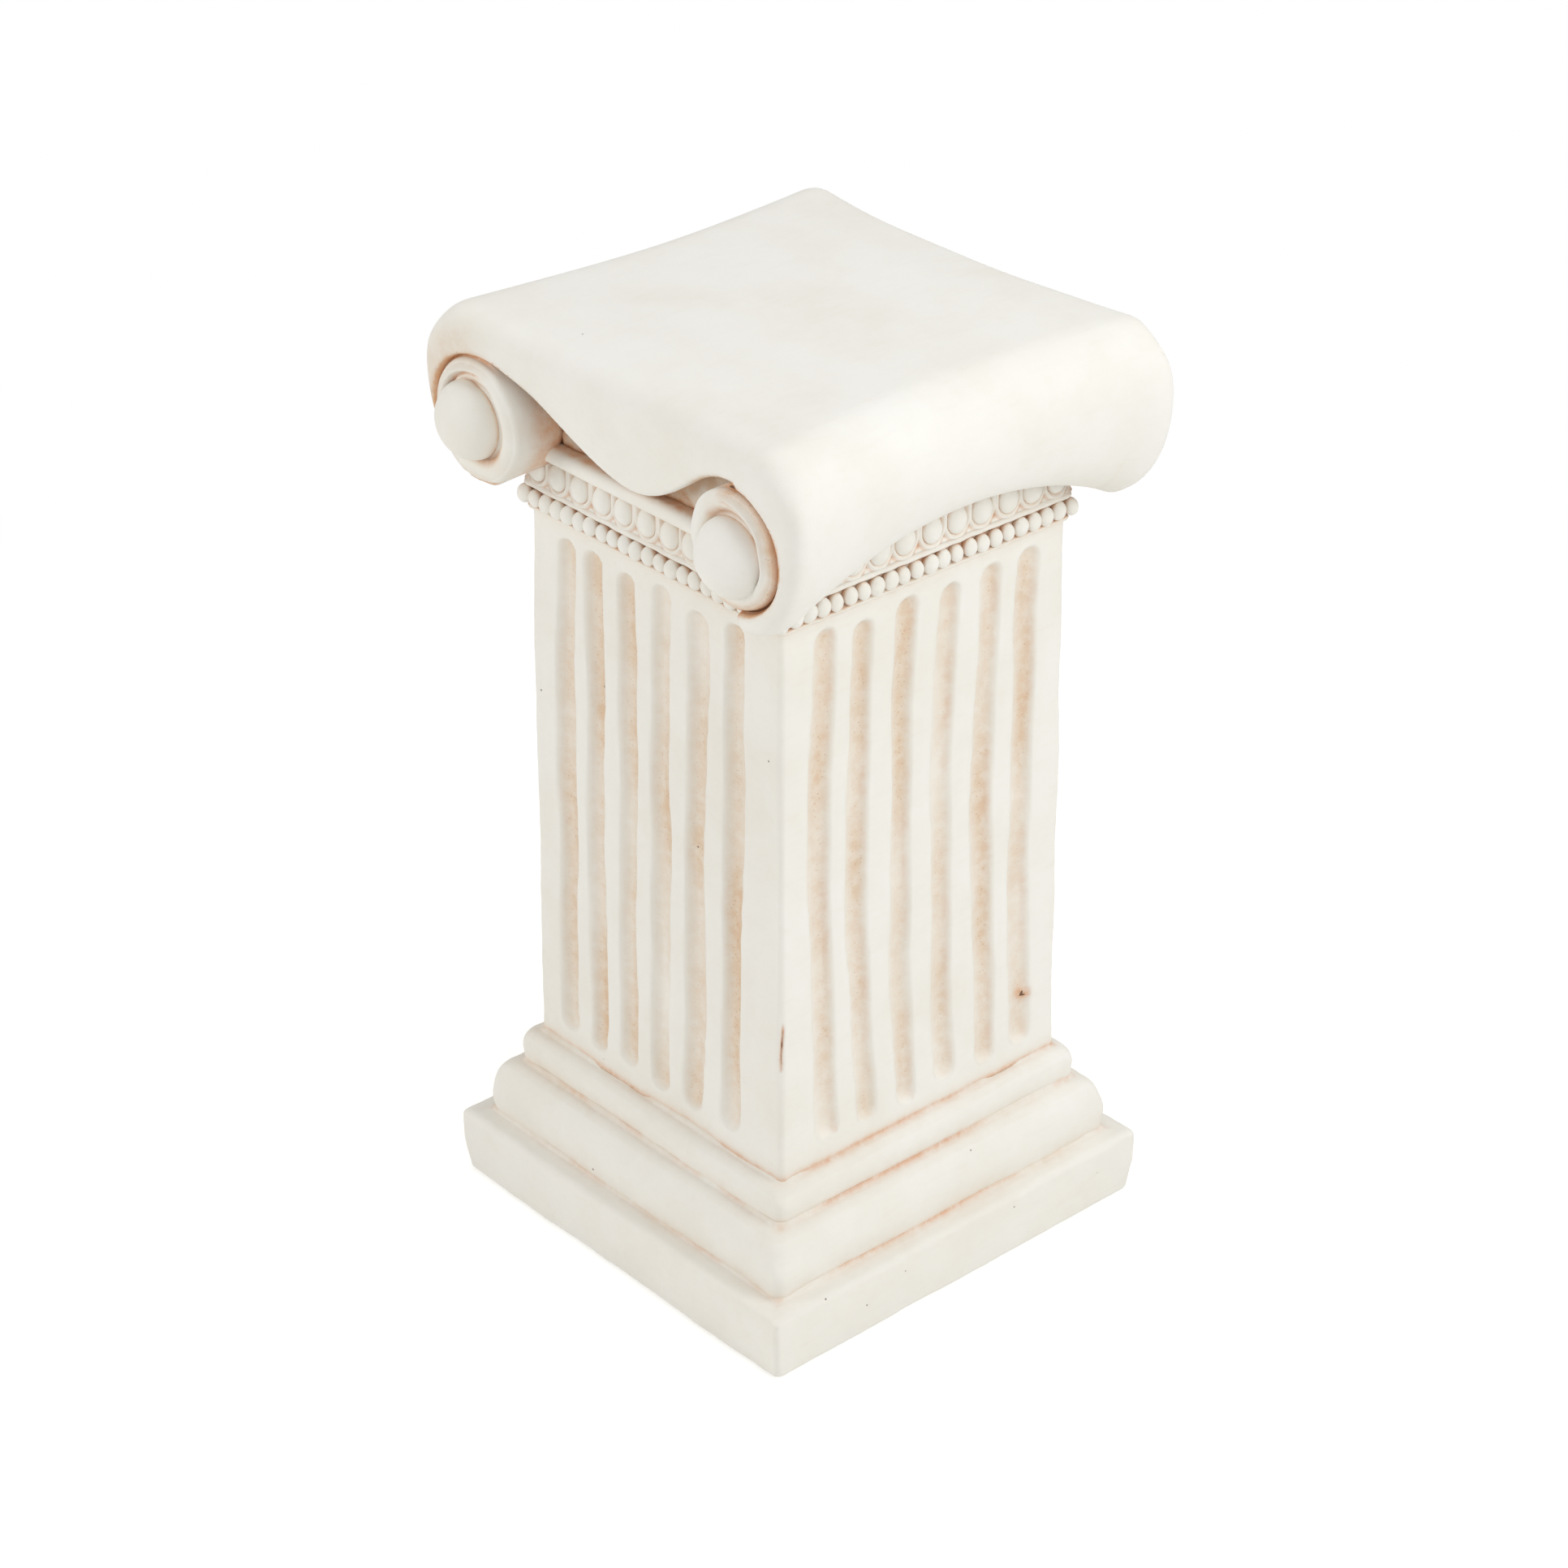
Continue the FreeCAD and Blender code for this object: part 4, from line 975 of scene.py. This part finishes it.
# %% [markdown]
# Two finishes are hardly seen. The bedding mortar is a sandy line in the joints, and the foot pads
# are black rubber under the plinth. Both keep their CAD meshes and get a plain but real surface:
# sand grains of about a millimetre, and the fine crazing of moulded rubber.

# %% Mortar and rubber
def hidden_finish(name, light, dark, size_mm, roughness, depth):
    """A two-tone grainy finish for a piece that stays out of sight."""
    material = bpy.data.materials.new(name)
    inner = empty_tree(material)
    spot = node(inner, "ShaderNodeTexCoord")
    grains = node(inner, "ShaderNodeTexNoise", inputs={"Scale": texture_scale(size_mm), "Detail": 4},
                  links={"Vector": spot.outputs["Object"]})
    ramp = node(inner, "ShaderNodeValToRGB", links={"Fac": grains.outputs["Fac"]})
    ramp.color_ramp.elements[0].color, ramp.color_ramp.elements[1].color = srgb(dark), srgb(light)
    bumps = node(inner, "ShaderNodeBump", inputs={"Strength": 0.6, "Distance": depth},
                 links={"Height": grains.outputs["Fac"]})
    surface = node(inner, "ShaderNodeBsdfPrincipled", inputs={"Roughness": roughness},
                   links={"Base Color": ramp.outputs[0], "Normal": bumps.outputs[0]})
    node(inner, "ShaderNodeOutputMaterial", links={"Surface": surface.outputs[0]})
    return material


# sharp sand and lime, and carbon-filled rubber
mortar = hidden_finish("sandy_bedding_mortar", "#C9AE8C", "#8F6F50", 1.2, 0.9, 0.0004)
rubber = hidden_finish("black_moulded_rubber", "#2B2A28", "#171615", 0.6, 0.7, 0.0001)
for name, cad_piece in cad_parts.items():
    if name.startswith("bed_"):
        dress(cad_piece, mortar)
    elif name.startswith("foot_pad_"):
        dress(cad_piece, rubber)

# %% [markdown]
# The photograph is a bright, even studio picture on white. A large light from the right, one from
# the left and one near the camera light each face and the arris between them, and a soft one from
# above and a pale world do the rest. The floor looks white to the camera, yet still takes the
# object's soft shadow.

# %% Floor and world
def seen(tree, *kinds):
    """1 for rays of these kinds, by which the camera sees a thing, and 0 for others."""
    rays = node(tree, "ShaderNodeLightPath").outputs
    either = rays[kinds[0]]
    for kind in kinds[1:]:
        either = node(tree, "ShaderNodeMath", {"operation": "MAXIMUM"},
                      links={0: either, 1: rays[kind]}).outputs[0]
    return either


floor_mesh = bpy.data.meshes.new("studio_floor")
floor_mesh.from_pydata([(-4, -4, 0), (4, -4, 0), (4, 4, 0), (-4, 4, 0)], [], [(0, 1, 2, 3)])
floor = in_scene("studio_floor", floor_mesh)
# white background paper; it glows a little to the camera, so that it looks white under the shadow
white = bpy.data.materials.new("white_paper_floor")
paper = empty_tree(white)
looked_at = seen(paper, "Is Camera Ray", "Is Glossy Ray", "Is Transmission Ray")
fibres = node(paper, "ShaderNodeTexNoise", inputs={"Scale": texture_scale(2.5)})
paper_tone = node(paper, "ShaderNodeMix", {"data_type": "RGBA"},
                  {6: srgb("#F4F3F0"), 7: srgb("#F8F7F5")}, {0: fibres.outputs["Fac"]})
matt = node(paper, "ShaderNodeBsdfDiffuse", links={"Color": paper_tone.outputs[2]})
glow_level = node(paper, "ShaderNodeMath", {"operation": "MULTIPLY"}, {1: 0.42}, {0: looked_at})
glow = node(paper, "ShaderNodeEmission", links={"Strength": glow_level.outputs[0]})
near_floor = node(paper, "ShaderNodeAddShader", links={0: matt.outputs[0], 1: glow.outputs[0]})
# far from the object the paper is plain white to the camera, so that no horizon shows
spot = node(paper, "ShaderNodeTexCoord")
reach = node(paper, "ShaderNodeVectorMath", {"operation": "LENGTH"}, links={0: spot.outputs["Object"]})
fade = node(paper, "ShaderNodeMapRange", {"interpolation_type": "SMOOTHSTEP"},
            {"From Min": 0.35, "From Max": 0.9}, {"Value": reach.outputs["Value"]})
share = node(paper, "ShaderNodeMath", {"operation": "MULTIPLY"},
             links={0: fade.outputs[0], 1: looked_at})
far_floor = node(paper, "ShaderNodeEmission", inputs={"Color": (1, 1, 1, 1), "Strength": 1.0})
floor_mix = node(paper, "ShaderNodeMixShader",
                 links={0: share.outputs[0], 1: near_floor.outputs[0], 2: far_floor.outputs[0]})
node(paper, "ShaderNodeOutputMaterial", links={"Surface": floor_mix.outputs[0]})
floor_mesh.materials.append(white)

world = bpy.data.worlds.new("pale_studio")
bpy.context.scene.world = world
air = empty_tree(world)
soft = node(air, "ShaderNodeBackground", inputs={"Color": srgb("#FFFEFC"), "Strength": 0.388})
plain = node(air, "ShaderNodeBackground", inputs={"Color": (1, 1, 1, 1), "Strength": 1.0})
looked_at = seen(air, "Is Camera Ray", "Is Glossy Ray")
choice = node(air, "ShaderNodeMixShader", links={0: looked_at, 1: soft.outputs[0], 2: plain.outputs[0]})
node(air, "ShaderNodeOutputWorld", links={"Surface": choice.outputs[0]})
print("floor and world ready")

# %% [markdown]
# Four square lamps stand as the soft boxes of a studio do. The camera was found by fitting the
# corners of every tier to the photograph: a long lens, almost two metres off, that looks down at
# about thirty degrees, with the picture's centre shifted a little.

# %% Lamps and camera
def aimed(thing, place, towards):
    """Put a lamp or a camera at a place, with its back along this direction."""
    thing.location = place
    thing.rotation_mode = "QUATERNION"
    thing.rotation_quaternion = type(thing.location)(towards).to_track_quat("Z", "Y")


def lamp(name, place, aim, size, power, colour):
    """A large square area light that looks at a point."""
    data = bpy.data.lights.new(name, "AREA")
    data.size, data.energy, data.color = size, power, srgb(colour)[:3]
    aimed(in_scene(name, data), place, [a - b for a, b in zip(place, aim)])


lamp("key_right", (1.35, 0.55, 1.15), (0, 0, 0.23), 1.0, 10.7, "#FFFFFE")
lamp("fill_left", (-1.1, -1.6, 0.85), (0, 0, 0.23), 1.0, 11.3, "#FFFDFA")
lamp("front_soft", (1.15, -1.25, 0.95), (0, 0, 0.23), 1.0, 5.0, "#FFFEFC")
lamp("top_soft", (0.1, 0.3, 2.0), (0, 0, 0.4), 1.4, 8.9, "#FFFFFF")

# focal length and centre in pixels of the photograph, distance and height in metres, and degrees
PHOTO, FOCAL, DISTANCE, AIM_HEIGHT, RISE, TURN = 1932, 5013.0, 1.879, 0.230, 29.35, 48.22
MIDDLE_X, MIDDLE_Y = 982.0, 946.0
rise, turn = math.radians(RISE), math.radians(TURN)
camera_data = bpy.data.cameras.new("photo_camera")
camera_data.sensor_width = 36.0
camera_data.lens = FOCAL / PHOTO * camera_data.sensor_width
camera_data.shift_x = (PHOTO / 2 - MIDDLE_X) / PHOTO
camera_data.shift_y = (MIDDLE_Y - PHOTO / 2) / PHOTO
camera = in_scene("photo_camera", camera_data)
back = np.array([math.sin(turn) * math.cos(rise), -math.cos(turn) * math.cos(rise), math.sin(rise)])
aimed(camera, (DISTANCE * back + [0, 0, AIM_HEIGHT]).tolist(), back.tolist())
bpy.context.scene.camera = camera
bpy.context.scene.view_settings.view_transform = "Standard"
print("camera at", [round(v, 3) for v in camera.location])
